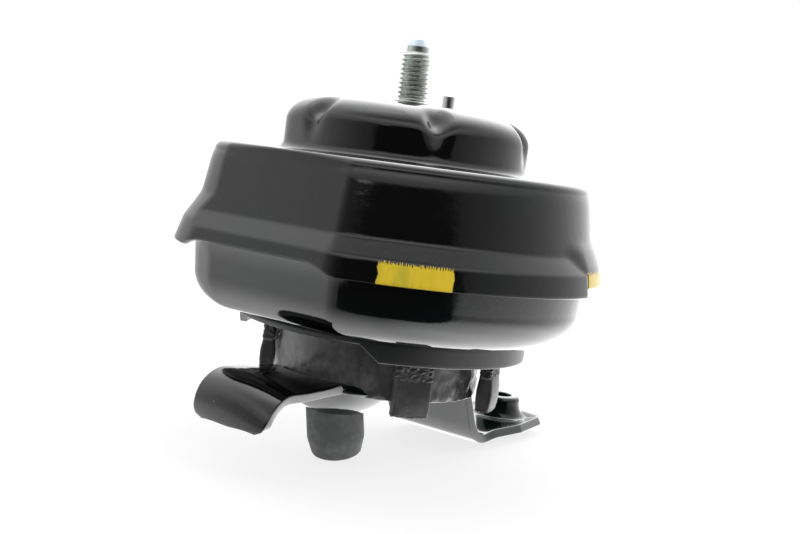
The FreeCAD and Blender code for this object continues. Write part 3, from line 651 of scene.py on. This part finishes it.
print("building materials")
dustGroup, peelGroup = makeDustGroup(), makePeelGroup()
paintBlack = paintMaterial("paintBlack")
paintHousing = paintMaterial("paintHousing", brushed=True)
# stop ring: the black paint with a rougher satin finish (its own) and a lighter grey base (painted light)
paintRingPaintedLight = paintMaterial("paintRingPaintedLight", paint["ringRoughness"], paint["ringColourPaintedLight"])
zincPlate = steelMaterial("zincPlate", (0.60, 0.63, 0.60), 0.30, blueTip)
brightSteel = steelMaterial("brightSteel", (0.55, 0.55, 0.54), 0.28)
bareSteel = steelMaterial("bareSteel", (0.32, 0.32, 0.31), 0.5)
castMetal = castMaterial("castMetal")
rubberDark = rubberMaterial("rubberDark", (0.034, 0.034, 0.034), 0.45)
rubberSkirt = rubberMaterial("rubberSkirt", (0.070, 0.070, 0.070), 0.32, 260.0, 0.00025)
rubberStub = rubberMaterial("rubberStub", (0.125, 0.128, 0.130), 0.7, 500.0, 0.00008)


def finish(piece, material, node):
    piece.data.materials.clear()
    piece.data.materials.append(material)
    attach(piece, "root")
    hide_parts(node)


# stud with its thread

stud = {"radius": 4.9, "root": 3.98, "pitch": 1.5, "threadFrom": 2.1, "threadTo": 17.5,
        "fadeFrom": (2.2, 3.6), "fadeTo": (16.2, 17.5), "crest": 1.28, "valley": 0.10, "rounded": 0.45,
        "start": (4.35, 2.0), "pilot": 3.65, "pilotTo": 19.8, "tip": 2.2, "height": 22.3, "collar": 5.6,
        "collarFrom": 0.8, "collarTo": 1.95, "neck": 4.5, "head": 10.0, "headFrom": -4.5, "headTo": -2.0}


def makeStud():
    # radius on a grid of turn and height: a rounded V thread of one start, faded at its two ends
    s = stud
    turn = anglesRound(120)
    low = filleted([(0, s["headFrom"], 0), (s["head"], s["headFrom"], 0.5), (s["head"], s["headTo"], 0.2),
                    (s["neck"], s["headTo"], 0.1), (s["neck"], s["collarFrom"], 0),
                    (s["collar"], s["collarFrom"], 0.25), (s["collar"], s["collarTo"], 0.3),
                    (*s["start"], 0.2)], 0.5)
    heights = np.linspace(s["threadFrom"], s["threadTo"], 190)
    phase = (heights[None, :] / s["pitch"] - turn / (2 * pi)) % 1
    ridge = np.clip(s["crest"] * (1 - np.abs(phase - 0.5) * 2) - s["valley"], 0, 1)
    ridge = ridge * ridge * (3 - 2 * ridge) * s["rounded"] + ridge * (1 - s["rounded"])
    fade = smoothStep(*s["fadeFrom"], heights) * (1 - 0.75 * smoothStep(*s["fadeTo"], heights))
    radius = s["root"] + 0.25 * (1 - fade) + (s["radius"] - s["root"]) * ridge * fade
    high = filleted([(s["pilot"] + 0.5, s["threadTo"] + 0.1, 0.1), (s["pilot"], s["threadTo"] + 0.35, 0.2),
                     (s["pilot"], s["pilotTo"], 0.35), (s["tip"], s["height"], 0.5),
                     (0, s["height"], 0)], 0.4)
    thread = turned(turn, radius, heights)
    grid = np.concatenate([turned(turn, *low.T), thread, turned(turn, *high.T)], axis=1)
    piece = meshFromGrid("studThreaded", grid, closeAlong=False, smoothAngle=38)
    finish(piece, zincPlate, "stud")


pin = {"radius": 2.0, "shank": 2.4, "offset": 20.6, "height": 6.3, "head": 3.2, "headFrom": -3.2,
       "headTo": -2.0}


def makePin():
    p = pin
    profile = filleted([(0, p["headFrom"], 0), (p["head"], p["headFrom"], 0.3), (p["head"], p["headTo"], 0.1),
                        (p["shank"], p["headTo"], 0.1), (p["shank"], 0, 0.1), (p["radius"], 0.05, 0.1),
                        (p["radius"], p["height"], 0.35), (0, p["height"], 0)], 0.6)
    piece = meshFromGrid("pinTurned", turned(anglesRound(48), *profile.T, p["offset"]), closeAlong=False)
    finish(piece, brightSteel, "locating_pin")


# top cap with its six flutes: a flute's foot and top are (radius, height, half width)

cap = {"hole": 4.7, "wall": 40.0, "shoulder": (12.5, 8.8), "foot": -18.4, "footRound": 3.2, "flange": 53.9,
       "sheet": 2.0, "flutes": 6, "fluteTurn": 20.0, "fluteFoot": (41.2, -13.2, 0.9),
       "fluteTop": (35.7, 3.0, 5.9), "soften": 26}


def makeCap():
    # profile turned about the axis, then each flute sinks the points in its cone down to the cone's far side
    wide, tall = cap["shoulder"]
    quarter = np.linspace(pi / 2, 0, 28)[:-1]
    flat = np.linspace(cap["hole"], cap["wall"] - wide, 26)[:-1]
    shoulder = [cap["wall"] - wide + wide * np.cos(quarter), tall * (np.sin(quarter) - 1)]
    wall = filleted([(cap["wall"], -tall, 0), (cap["wall"], cap["foot"], cap["footRound"]),
                     (cap["flange"], cap["foot"], 0)], 0.9, 16)
    profile = np.concatenate([np.stack([flat, 0 * flat], -1), np.stack(shoulder, -1), wall])
    tangent = unit(np.gradient(profile, axis=0))
    inwards = tangent[:, 1], -tangent[:, 0]
    theta = anglesRound(540)
    sector = 2 * pi / cap["flutes"]
    local = (theta - radians(cap["fluteTurn"]) + sector / 2) % sector - sector / 2
    (footRadius, footHeight, footHalf), (topRadius, topHeight, topHalf) = cap["fluteFoot"], cap["fluteTop"]
    foot = np.array([footRadius, 0, footHeight])
    axis = np.array([topRadius, 0, topHeight]) - foot
    length = np.linalg.norm(axis)
    axis /= length
    offset = turned(local, *profile.T) - foot
    localInwards = turned(local, *inwards)
    reach = offset @ axis
    aside = offset - reach[..., None] * axis
    inAside = localInwards - (localInwards @ axis)[..., None] * axis
    half = footHalf + (topHalf - footHalf) * np.clip(reach / length, 0, 1.2)
    b = np.sum(aside * inAside, axis=-1)
    a = np.maximum(np.sum(inAside ** 2, axis=-1), 0.2)
    c = np.sum(aside ** 2, axis=-1) - half ** 2
    depth = np.where((c < 0) & (reach > 0), (-b + np.sqrt(np.maximum(b * b - a * c, 0))) / a, 0)
    depth = blurred(depth, cap["soften"])
    grid = turned(theta, *profile.T) + turned(theta, *inwards) * depth[..., None]
    piece = meshFromGrid("capFluted", sheetShell(grid, cap["sheet"]), smoothAngle=60)
    finish(piece, paintBlack, "top_cap")


# Upper housing. A bend of the skirt is (beyond the wall, height, radius), a shift is (height, towards -X).

housing = {"radius": 61.8, "flat": 56.5, "corner": 5.0, "top": -18.4, "edgeRound": 2.6, "flatEdge": 0.9,
           "recess": 55.5, "recessDepth": 2.0, "lip": 0.45, "mouth": 46.0, "rim": -51.0, "rimSpread": 7.7,
           "joggle": [(3.2, -39.8, 3.0), (6.9, -45.2, 3.2)],
           "flare": [(2.3, -34.8, 6.0), (6.8, -43.2, 6.0)], "flareRim": 8.7,
           "flareShift": [(-51, 1.15), (-43.2, 0.5175), (-40.6, 0.23), (-37.8, 0)], "flareFrom": 9.3,
           "blend": (2.6, 13.0), "turnIn": 0.03, "turnInFrom": -24.7, "scaleFrom": -44.0,
           "rimShort": -48.3, "rimLeft": -50.3, "leftFrom": -33.0, "leftTo": -24.0, "rightFrom": 19.3,
           "rightTo": 29.9, "stepRadius": 69.0, "slit": 1.4, "slitTop": -44.5, "slitX": (60.0, 80.0),
           "sheet": 2.0, "innerGap": 1.9, "innerAbove": -24.0}


def makeHousing():
    # for each angle a profile: recess, top ridge, edge round, drafted wall, joggle, skirt down to the rim.
    # The rear and left skirt flares wider and is moved towards -X, the right front skirt is plain.
    h = housing
    theta = anglesAround(300, 40, [(-118, 6), (-62, 6), (-65, 12), (8.2, 2.5), (171.8, 1.5)])
    x, y = h["stepRadius"] * np.cos(theta), h["stepRadius"] * np.sin(theta)
    near = outlineRadius(theta, h["radius"], h["flat"], h["corner"])
    start = h["top"] - h["edgeRound"]
    freedom = np.clip((near - h["flat"]) / (h["radius"] - h["flat"]), 0, 1)

    def turnedIn(height):
        # the wall leans in above its middle: a parabola, less of it on the flat
        return h["turnIn"] * np.maximum(height - h["turnInFrom"], 0) ** 2 * freedom

    topNear = near - turnedIn(start + 0 * near)
    edge = h["flatEdge"] + (h["edgeRound"] - h["flatEdge"]) * freedom
    ridgeStart = h["recess"] + h["lip"]
    ridge = np.maximum(topNear - edge, ridgeStart + 0.1)
    largest = np.arccos(np.clip((ridge - topNear + edge) / edge, 0, 1))
    ridgeHeight = h["top"] - edge + edge * np.sin(largest)
    floor = filleted([(h["mouth"] + 0.4, -h["recessDepth"], 0), (h["recess"], -h["recessDepth"], 0.7),
                      (h["recess"], -0.55, 0)], 1.6, 5)
    lip = np.linspace(0.15, 1, 3)[None, :] * pi / 2
    share = np.linspace(0, 1, 5)[None, 1:-1]
    arc = largest * (1 - np.linspace(0, 1, 12)[None, :])
    columns = [(floor[:, 0], np.minimum(floor[:, 1] + h["top"], ridgeHeight - 0.5)),
               (h["recess"] + h["lip"] * (1 - np.cos(lip)), ridgeHeight - h["lip"] * (1 - np.sin(lip))),
               (ridgeStart + (ridge - ridgeStart) * share, ridgeHeight + 0 * share),
               (topNear - edge + edge * np.cos(arc), h["top"] - edge + edge * np.sin(arc))]

    rim = h["rimShort"] + (h["rim"] - h["rimShort"]) * smoothStep(h["rightFrom"], h["rightTo"], x)
    rim = rim + (h["rimLeft"] - h["rimShort"]) * smoothStep(h["leftTo"], h["leftFrom"], x)
    rim = rim + (h["rimShort"] - rim) * smoothStep(h["flareFrom"] + 0.1, h["flareFrom"] + h["slit"] - 0.1, y)
    level = np.concatenate([np.linspace(start - 0.4, -33, 16), np.linspace(-34, -47, 40),
                            np.linspace(-47.5, h["rim"], 9)])[None, :]
    sunk = np.clip((h["scaleFrom"] - level) / (h["scaleFrom"] - h["rim"]), 0, 1)
    level = np.where(sunk > 0, h["scaleFrom"] - sunk * (h["scaleFrom"] - rim), level + 0 * rim)

    softer = h["blend"][0] + (h["blend"][1] - h["blend"][0]) * smoothStep(-46.5, -37.5, level)
    behind = smoothStep(h["flareFrom"] + h["slit"] - softer, h["flareFrom"] + h["slit"], y + 0 * level)
    flared = np.maximum(behind, smoothStep(8, -8, x))

    def spreadAt(bends, rimSpread):
        run = filleted([(0, start, 0), *bends, (rimSpread, h["rim"] - 0.01, 0)], 60, 14)[::-1]
        return np.interp(level, run[:, 1], run[:, 0])

    plain, wide = spreadAt(h["joggle"], h["rimSpread"]), spreadAt(h["flare"], h["flareRim"])
    spread = plain + (wide - plain) * flared
    skirt = outlineRadius(theta, h["radius"] + spread, h["flat"] + plain, h["corner"] + plain * 0.5)
    columns.append((skirt - turnedIn(level), level))
    grid = turned(theta, *sideBySide(columns, near))
    shifts = np.array(h["flareShift"], float)
    grid[:, -level.shape[1]:, 0] -= np.interp(level, shifts[:, 0], shifts[:, 1]) * flared
    shell = sheetShell(grid, h["sheet"])
    within = np.minimum(1, (near - h["innerGap"]) / np.maximum(np.hypot(shell[..., 0], shell[..., 1]), 1))
    inner = (np.arange(shell.shape[1])[None, :] >= grid.shape[1]) & (shell[..., 2] > h["innerAbove"])
    shell[..., :2] *= np.where(inner, within, 1)[..., None]
    piece = meshFromGrid("housingPressed", shell, smoothAngle=50)
    (left, right), front = h["slitX"], h["flareFrom"]
    slit = boxMatrix((left, front, -60.0), (right, front + h["slit"], h["slitTop"]))
    cutAway(piece, lambda work: bmesh.ops.create_cube(work, size=mm, matrix=slit), 50)
    finish(piece, paintHousing, "upper_housing")


def boxMatrix(low, high):
    # turns a cube of 1 mm into the box between two corners
    size = [b - a for a, b in zip(low, high)]
    middle = Vector([(a + b) / 2 for a, b in zip(low, high)]) + Vector((0, 0, capTop))
    return Matrix.Translation(middle * mm) @ Matrix.Diagonal((*size, 1))


# lower pan

pan = {"top": -44.4, "taper": 1.3, "beyondWall": 3.2, "turnOut": 0.029, "turnOutFrom": -55.2,
       "turnOutTo": -48.3, "corner": 9.0, "cornerAt": 26.0, "round": 11.0, "bottom": -70.0, "mouth": 44.5,
       "sheet": 2.0}


def makePan():
    # wall, a large quarter round, and a flat bottom that runs in to a round mouth
    h, p = housing, pan
    theta = anglesAround(300, 34, [(-90 - p["cornerAt"], 9), (-90 + p["cornerAt"], 9)])

    def outline(beyond, corner):
        return outlineRadius(theta, h["radius"] + beyond, h["flat"] + beyond, corner)

    near = outline(p["beyondWall"], p["corner"])
    shrunk = outline(p["beyondWall"] - p["round"], p["corner"] * 0.6) - p["taper"]
    foot = near - p["taper"]
    bottomEdge = 0.5 * (foot - p["round"]) + 0.5 * shrunk
    wallBottom = p["bottom"] + p["round"]
    wall = np.linspace(0, 1, 26)[None, :-1]
    arc = np.linspace(0, pi / 2, 26)[None, :]
    run = np.linspace(0, 1, 5)[None, 1:]
    columns = [(near - p["taper"] * wall, p["top"] + (wallBottom - p["top"]) * wall),
               (bottomEdge + (foot - bottomEdge) * np.cos(arc), wallBottom - p["round"] * np.sin(arc)),
               (bottomEdge + (p["mouth"] - bottomEdge) * run, p["bottom"] + 0 * run)]
    radius, height = sideBySide(columns, near)
    onFlat = smoothStep(38, 22, np.abs((np.degrees(theta) + 270) % 360 - 180))
    above = np.maximum(np.minimum(height, p["turnOutTo"]) - p["turnOutFrom"], 0)
    grid = turned(theta, radius + onFlat * p["turnOut"] * above ** 2, height)
    piece = meshFromGrid("panPressed", sheetShell(grid, p["sheet"]), smoothAngle=50)
    finish(piece, paintBlack, "lower_pan")


# stop ring, its aprons and its claws, then the rubber pads on the claws

ring = {"outer": 47.6, "mouth": 36.6, "thickness": 2.4, "top": -70.0, "edge": 0.45, "bend": 1.2,
        "apronBottom": -77.2, "apronHalf": 52.0, "chamfer": 7.5, "turn": -8.0, "clawOuter": 40.0,
        "clawThickness": 3.2, "clawWidth": 11.0, "clawBottom": -93.4, "clawSpread": 28.0}
clawAzimuths = [ring["turn"] + side + hand * ring["clawSpread"] for side in (0, 180) for hand in (-1, 1)]


def makeRing():
    # section of flange and apron for each angle; the apron's foot rises on a slant at its ends
    r, e = ring, ring["edge"]
    ends = [(r["turn"] + side + hand * (r["apronHalf"] - 3.5), 5) for side in (0, 180) for hand in (-1, 1)]
    theta = anglesAround(360, 30, ends)
    away = np.abs((np.degrees(theta) - r["turn"] + 90) % 180 - 90)
    share = np.clip((r["apronHalf"] - away) / r["chamfer"], 0, 1)
    flangeFoot = r["top"] - r["thickness"]
    foot = flangeFoot + (r["apronBottom"] - flangeFoot) * share
    shoulder = r["top"] - r["bend"]
    inner, half = r["outer"] - r["thickness"], r["thickness"] / 2
    sides = [(r["mouth"], flangeFoot + e), (r["mouth"], r["top"] - e), (r["mouth"] + e, r["top"])]
    sides += [(r["mouth"] + (r["outer"] - r["mouth"]) * s, r["top"]) for s in (0.3, 0.6, 0.85)]
    for angle in np.radians(np.linspace(90, 0, 5)):
        sides.append((r["outer"] - r["bend"] + r["bend"] * cos(angle), shoulder + r["bend"] * sin(angle)))
    sides += [(r["outer"], shoulder + (foot + e - shoulder) * s) for s in (0.15, 0.5, 0.85)]
    for angle in np.radians(np.linspace(0, -180, 9)):
        sides.append((r["outer"] - half + half * signedPower(cos(angle), 0.5),
                      foot + e - e * abs(sin(angle)) ** 0.6))
    sides.append((inner, flangeFoot + np.minimum(foot - flangeFoot + e, 0) * 0.4))
    sides += [(inner - 0.5, flangeFoot), (r["mouth"] + e, flangeFoot)]
    shells = [meshFromGrid("ringFlanged", turned(theta, *sideBySide(sides, foot)), smoothAngle=50)]
    shells += [makeClaw(azimuth) for azimuth in clawAzimuths]
    finish(joined("ringClawed", shells), paintRingPaintedLight, "stop_ring")


def makeClaw(azimuth):
    # a plate curved with the ring and bent down from its flange
    r = ring
    radius = r["clawOuter"] - r["clawThickness"] / 2
    flange = r["top"] - r["bend"]
    path = filleted([(-4.5, flange, 0), (0, flange, 2.2), (0, r["clawBottom"] + 0.6, 0)], 1.5)[:, None]
    across = np.linspace(-1, 1, 9)[None, :] * (r["clawWidth"] / 2 - 0.5)
    middle = turned(radians(azimuth) + across / radius, radius + path[..., 0], path[..., 1])
    return slab("claw", middle, r["clawThickness"], 0.5)


buffer = {"top": -83.0, "coatTop": -77.5, "bottom": -94.0, "bulge": 0.6, "coat": 0.5, "side": 0.5,
          "corner": 0.9, "pocks": [(0.9, 7.3, 0.28), (0.45, 3.1, 0.24)], "swell": (2.6, 5.7, 0.07),
          "torn": 0.9, "tornDrop": 1.3}


def roundedLoop(halfWide, halfThick, corner, count):
    # points of a rounded rectangle at even steps along its rim
    angle = np.linspace(0, 2 * pi, 720, endpoint=False)
    c, s = np.cos(angle), np.sin(angle)
    wide = (halfWide - corner) * np.clip(c * 60, -1, 1) + corner * c
    thick = (halfThick - corner) * np.clip(s * 60, -1, 1) + corner * s
    rim = np.stack([np.append(wide, wide[0]), np.append(thick, thick[0])], -1)
    lengths = lengthsAlong(rim)
    at = np.linspace(0, lengths[-1], count, endpoint=False)
    return np.interp(at, lengths, rim[:, 0])[:, None], np.interp(at, lengths, rim[:, 1])[:, None]


def lengthsAlong(path):
    return np.concatenate([[0], np.cumsum(np.linalg.norm(np.diff(path, axis=0), axis=1))])


def makeBuffers():
    # closed tube round each claw: a pocked coat above, a smooth pad below that is a lens seen from the side,
    # and torn flash at its foot. Noise is (scale, seed, height).
    r, b = ring, buffer
    middle = r["clawOuter"] - r["clawThickness"] / 2
    halfWide, halfThick = r["clawWidth"] / 2 + b["side"], r["clawThickness"] / 2 + b["coat"]
    heights = np.linspace(b["coatTop"], b["bottom"], 74)[None, :]
    wideRim, thickRim = roundedLoop(halfWide, halfThick, b["corner"], 132)
    out = np.clip(thickRim / halfThick * 1.2, -1, 1)
    aside = np.clip(wideRim / halfWide * 1.04, -1, 1)
    lens = np.clip((b["top"] - heights) / (b["top"] - b["bottom"]), 0, 1)
    coated = smoothStep(b["top"] - 0.5, b["top"] + 0.3, heights)
    torn = smoothStep(b["bottom"] + 1.3, b["bottom"], heights)
    thick = thickRim + out * (b["bulge"] * np.sin(pi * lens) ** 0.8)
    wide = wideRim * (1 - 0.05 * (1 - coated))
    base = np.stack(np.broadcast_arrays(wide, thick, heights), -1)
    for number, azimuth in enumerate(clawAzimuths, 1):
        rough = sum(bumpyNoise(base, scale, number * seed) * high for scale, seed, high in b["pocks"])
        scale, seed, high = b["swell"]
        scatter = rough * (coated + torn * b["torn"]) + bumpyNoise(base, scale, number * seed) * high
        turn = radians(azimuth) + (wide + aside * np.abs(aside) ** 6 * scatter) / middle
        grid = turned(turn, middle + thick + out * scatter, heights + rough * torn * b["tornDrop"])
        ends = []
        for column, shift in ((0, 0.35), (-1, -0.3)):
            centre = grid[:, column].mean(axis=0) + np.array([0, 0, shift])
            ends.append(np.stack([centre + (grid[:, column] - centre) * f for f in (0.0, 0.5, 0.88)], axis=1))
        grid = np.concatenate([ends[0], grid, ends[1][:, ::-1]], axis=1)
        piece = meshFromGrid(f"bufferPad{number}", grid, closeAlong=False, smoothAngle=60)
        finish(piece, rubberDark, f"claw_buffer_{number}")


# rubber spring

rubber = {"core": 30.5, "skirt": 33.0, "bottom": -91.0, "neck": -73.0, "throat": (37.8, -66.6),
          "ringFoot": (45.0, -67.7), "ringKnee": (52.0, -56.0), "coreTop": -52.0, "cap": 3.5,
          "shoulder": (20.0, 6.0), "hollow": (39.5, -58.0), "crown": (28.5, -50.5), "skinBelow": -66.0,
          "tall": 2.2, "folds": [(4.2, 3.0, 0.5), (1.7, 9.0, 0.35)], "foldsFrom": (-78.0, -86.5),
          "foldsAbove": 0.12, "foldsBelow": 0.9, "flash": (0.8, 21.0, 0.4), "flashFrom": (-84.5, -87.5)}


def makeRubber():
    # profile turned about the axis; the skirt below the ring is wrinkled and has flash at its foot. Noise is
    # (scale, seed, height).
    r = rubber
    roof, bottom = r["coreTop"] + r["cap"], r["bottom"]
    profile = filleted([(r["core"], bottom, 0.3), (r["skirt"], bottom, 0.6), (r["skirt"], r["neck"], 8.0),
                        (*r["throat"], 1.5), (*r["ringFoot"], 1.0), (*r["ringKnee"], 2.0),
                        (r["ringKnee"][0], roof, 0.4), (*r["hollow"], 12.0), (*r["crown"], 3.0),
                        (r["shoulder"][0], roof, 2.0), (0, roof, 0), (0, r["coreTop"], 0),
                        (r["shoulder"][0], r["coreTop"], 0.5),
                        (r["core"], r["coreTop"] - r["shoulder"][1], 0.5), (r["core"], bottom + 0.4, 0)],
                       1.1, 6)
    theta = anglesRound(300)
    grid = turned(theta, *profile.T)
    skin = (profile[:, 0] > r["core"] + 0.4) & (profile[:, 1] < r["skinBelow"])
    chosen = grid[:, skin]
    tall = chosen * np.array([1, 1, r["tall"]])
    folds = sum(bumpyNoise(tall, scale, seed) * high for scale, seed, high in r["folds"])
    low = smoothStep(*r["foldsFrom"], chosen[..., 2])
    scale, seed, high = r["flash"]
    flash = bumpyNoise(chosen, scale, seed) * high * smoothStep(*r["flashFrom"], chosen[..., 2])
    push = folds * (r["foldsAbove"] + r["foldsBelow"] * low) + flash
    grid[:, skin] = chosen + turned(theta, push, 0)
    finish(meshFromGrid("springRubber", grid, smoothAngle=60), rubberSkirt, "main_rubber")


# Bracket: y and z along its side, x across it. The strap is one sheet from the hooked tip to the foot.

bracket = {"thickness": 3.2, "edge": 0.6, "level": -88.0, "footLevel": -112.3, "tip": (-66.34, -99.12),
           "frontCorner": -67.31, "frontBend": 10.0, "lipCorner": 3.0, "rearCorner": 26.4, "rearBend": 7.0,
           "footCorner": 37.89, "footBend": 12.0, "footEnd": 91.5, "frontHalf": 14.4, "rearHalf": 18.5,
           "widens": (-30, -12), "taper": 3.5, "taperFrom": (68.0, 86.5), "endRound": (86.0, 5.6, 5.0),
           "arch": (1.2, -1.2, -1.6), "archFrom": (-31, -52), "archTip": (-2.0, 9.0), "crown": 0.25,
           "dishAt": -20.0, "dish": 19.0, "dishDepth": 11.2, "rolled": (1.7, 5.0), "rolledFrom": (38, 52),
           "rolledEnd": (87, 91.5), "hole": 4.19, "holeAt": 80.4, "bossTop": -102.5, "boss": 7.8,
           "bossFlare": (0.6, 1.7), "flareStart": 5.2, "bossFoot": 14.2, "bossEnd": 10.7}


def strapHalf(y):
    # half width of the strap: narrow arm, wider middle and rear, tapered foot with rounded corners
    b = bracket
    half = b["frontHalf"] + (b["rearHalf"] - b["frontHalf"]) * smoothStep(*b["widens"], y)
    start, end = b["taperFrom"]
    half = half - b["taper"] * np.clip((y - start) / (end - start), 0, 1)
    start, reach, depth = b["endRound"]
    endRound = np.sqrt(np.clip(1 - ((np.clip(y, start, None) - start) / reach) ** 2, 0.02, 1))
    half = half - np.where(y > start, depth * (1 - endRound), 0)
    bowl = np.sqrt(np.maximum((b["dish"] + 0.2) ** 2 - (y - b["dishAt"]) ** 2, 0))
    return np.maximum(half, bowl)


def makeBracket():
    # middle surface on (path, across), sunk by the dish and arched over the front arm
    b = bracket
    path = filleted([(*b["tip"], 0), (b["frontCorner"], b["level"], b["frontBend"]),
                     (b["rearCorner"], b["level"], b["rearBend"]),
                     (b["footCorner"], b["footLevel"], b["footBend"]),
                     (b["footEnd"] - b["edge"], b["footLevel"], 0)], 0.8, 14)
    lengths = lengthsAlong(path)
    even = np.linspace(0, lengths[-1], 260)[:, None]
    y, z = np.interp(even, lengths, path[:, 0]), np.interp(even, lengths, path[:, 1])
    across = signedPower(np.linspace(-1, 1, 57), 0.9)[None, :]
    lip = b["lipCorner"]
    shorter = lip - np.sqrt(np.maximum(lip ** 2 - (lip - np.clip(even, 0, lip)) ** 2, 0))
    x = across * (strapHalf(y) - b["edge"] - shorter)
    tangent = unit(np.concatenate([np.gradient(y, axis=0), np.gradient(z, axis=0)], axis=1))
    outY, outZ = -tangent[:, 1:], tangent[:, :1]
    even1, even2, even3 = b["arch"]
    arch = smoothStep(*b["archFrom"], y) * smoothStep(*b["archTip"], even)
    lift = arch * (even1 + even2 * across + even3 * across ** 2)
    lift = lift - b["crown"] * np.abs(across) ** 6 * (1 - arch)
    height, power = b["rolled"]
    sides = np.abs(across) ** power * smoothStep(*b["rolledFrom"], y)
    lift = lift + height * np.maximum(sides, smoothStep(*b["rolledEnd"], y))
    away = np.sqrt(x ** 2 + (y - b["dishAt"]) ** 2)
    ball = (b["dish"] ** 2 + b["dishDepth"] ** 2) / (2 * b["dishDepth"])
    inside = np.sqrt(np.maximum(ball ** 2 - np.minimum(away, b["dish"]) ** 2, 0)) - (ball - b["dishDepth"])
    sink = blurredOpen(inside * smoothStep(26, 20, y), 3)
    middle = np.stack([x, y + outY * lift, z + outZ * lift - sink], -1)
    strap = slab("strap", middle, b["thickness"], b["edge"], 0.45, 40)
    place = Matrix.Translation(Vector((0, b["holeAt"], b["footLevel"] + capTop)) * mm)
    drill = (b["hole"] + 0.05) * mm
    cutAway(strap, lambda work: bmesh.ops.create_cone(work, cap_ends=True, segments=64, radius1=drill,
                                                      radius2=drill, depth=0.02, matrix=place), 40)
    finish(joined("strapPressed", [strap, makeBoss()]), paintBlack, "bracket")


def makeBoss():
    # drawn collar: a rounded rim, a wall, and a flare whose height falls off as exp(-distance), slower
    # towards the strap's end, where it still stands above the plate
    b = bracket
    theta = anglesRound(128)
    plate = b["footLevel"] + b["thickness"] / 2
    reach = b["bossFlare"][0] + b["bossFlare"][1] * np.maximum(np.sin(theta), 0) ** 2
    foot = np.minimum(b["bossFoot"], b["bossEnd"] / np.maximum(np.sin(theta), 0.01))
    rim = filleted([(b["hole"], b["footLevel"] - 1.5, 0), (b["hole"], b["bossTop"], 0.7),
                    (b["boss"], b["bossTop"], 1.7), (b["boss"] + 0.1, plate + b["flareStart"], 0)], 0.6, 9)
    start, top = rim[-1]
    flare = start + (foot - start) * (np.linspace(0, 1, 26) ** 1.4)[None, 1:]
    height = plate + (top - plate) * np.exp(-(flare - start) / reach)
    columns = [(rim[:, 0], rim[:, 1]), (flare, height), (foot, plate - 0.8), (foot - 1.0, plate - 1.0),
               (b["hole"] + 1, plate - 1.2)]
    return meshFromGrid("boss", turned(theta, *sideBySide(columns, theta), b["holeAt"]), smoothAngle=40)


# locating stub

stub = {"radius": 9.2, "tip": 8.0, "length": 15.4, "straight": 10.0, "tipRound": 1.0, "root": 3.0,
        "lean": 14.0, "foot": (-20.0, -98.5), "swell": (5.0, 2.0, 0.013)}


def makeStub():
    # sleeve turned about its own axis, slightly uneven, then leaned towards the rear
    s = stub
    profile = filleted([(0, s["root"], 0), (s["radius"], s["root"], 0.5),
                        (s["radius"] + 0.05, -s["straight"], 6.0),
                        (s["tip"], -s["length"], s["tipRound"]), (0, -s["length"] - 0.1, 0)], 0.7, 10)
    grid = turned(anglesRound(128), *profile.T)
    scale, seed, share = s["swell"]
    grid[..., :2] *= (1 + bumpyNoise(grid * np.array([1, 1, 0.4]), scale, seed) * share)[..., None]
    lean = radians(s["lean"])
    y, z = grid[..., 1].copy(), grid[..., 2].copy()
    grid[..., 1] = y * cos(lean) - z * sin(lean) + s["foot"][0]
    grid[..., 2] = y * sin(lean) + z * cos(lean) + s["foot"][1]
    piece = meshFromGrid("stubSleeve", grid, closeAlong=False, smoothAngle=50)
    finish(piece, rubberStub, "locating_stub")


def dressHidden():
    # the pieces inside keep their own meshes and get a finish of their own
    coats = {castMetal: ("inner_core", "orifice_plate_lower", "orifice_plate_upper"),
             bareSteel: ("outer_ring", "stub_peg"), paintBlack: ("core_rivet",),
             rubberDark: ("decoupler", "bellows")}
    for material, names in coats.items():
        for name in names:
            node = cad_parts[name]
            node.data.materials.clear()
            node.data.materials.append(material)


print("stage and camera")
makeCamera()
makeStage()
for label, build in (("stud", makeStud), ("pin", makePin), ("cap", makeCap), ("housing", makeHousing),
                     ("pan", makePan), ("stop ring", makeRing), ("buffers", makeBuffers),
                     ("rubber", makeRubber), ("bracket", makeBracket), ("stub", makeStub)):
    build()
    print("built", label)
dressHidden()

bpy.context.scene.view_settings.view_transform = "Standard"
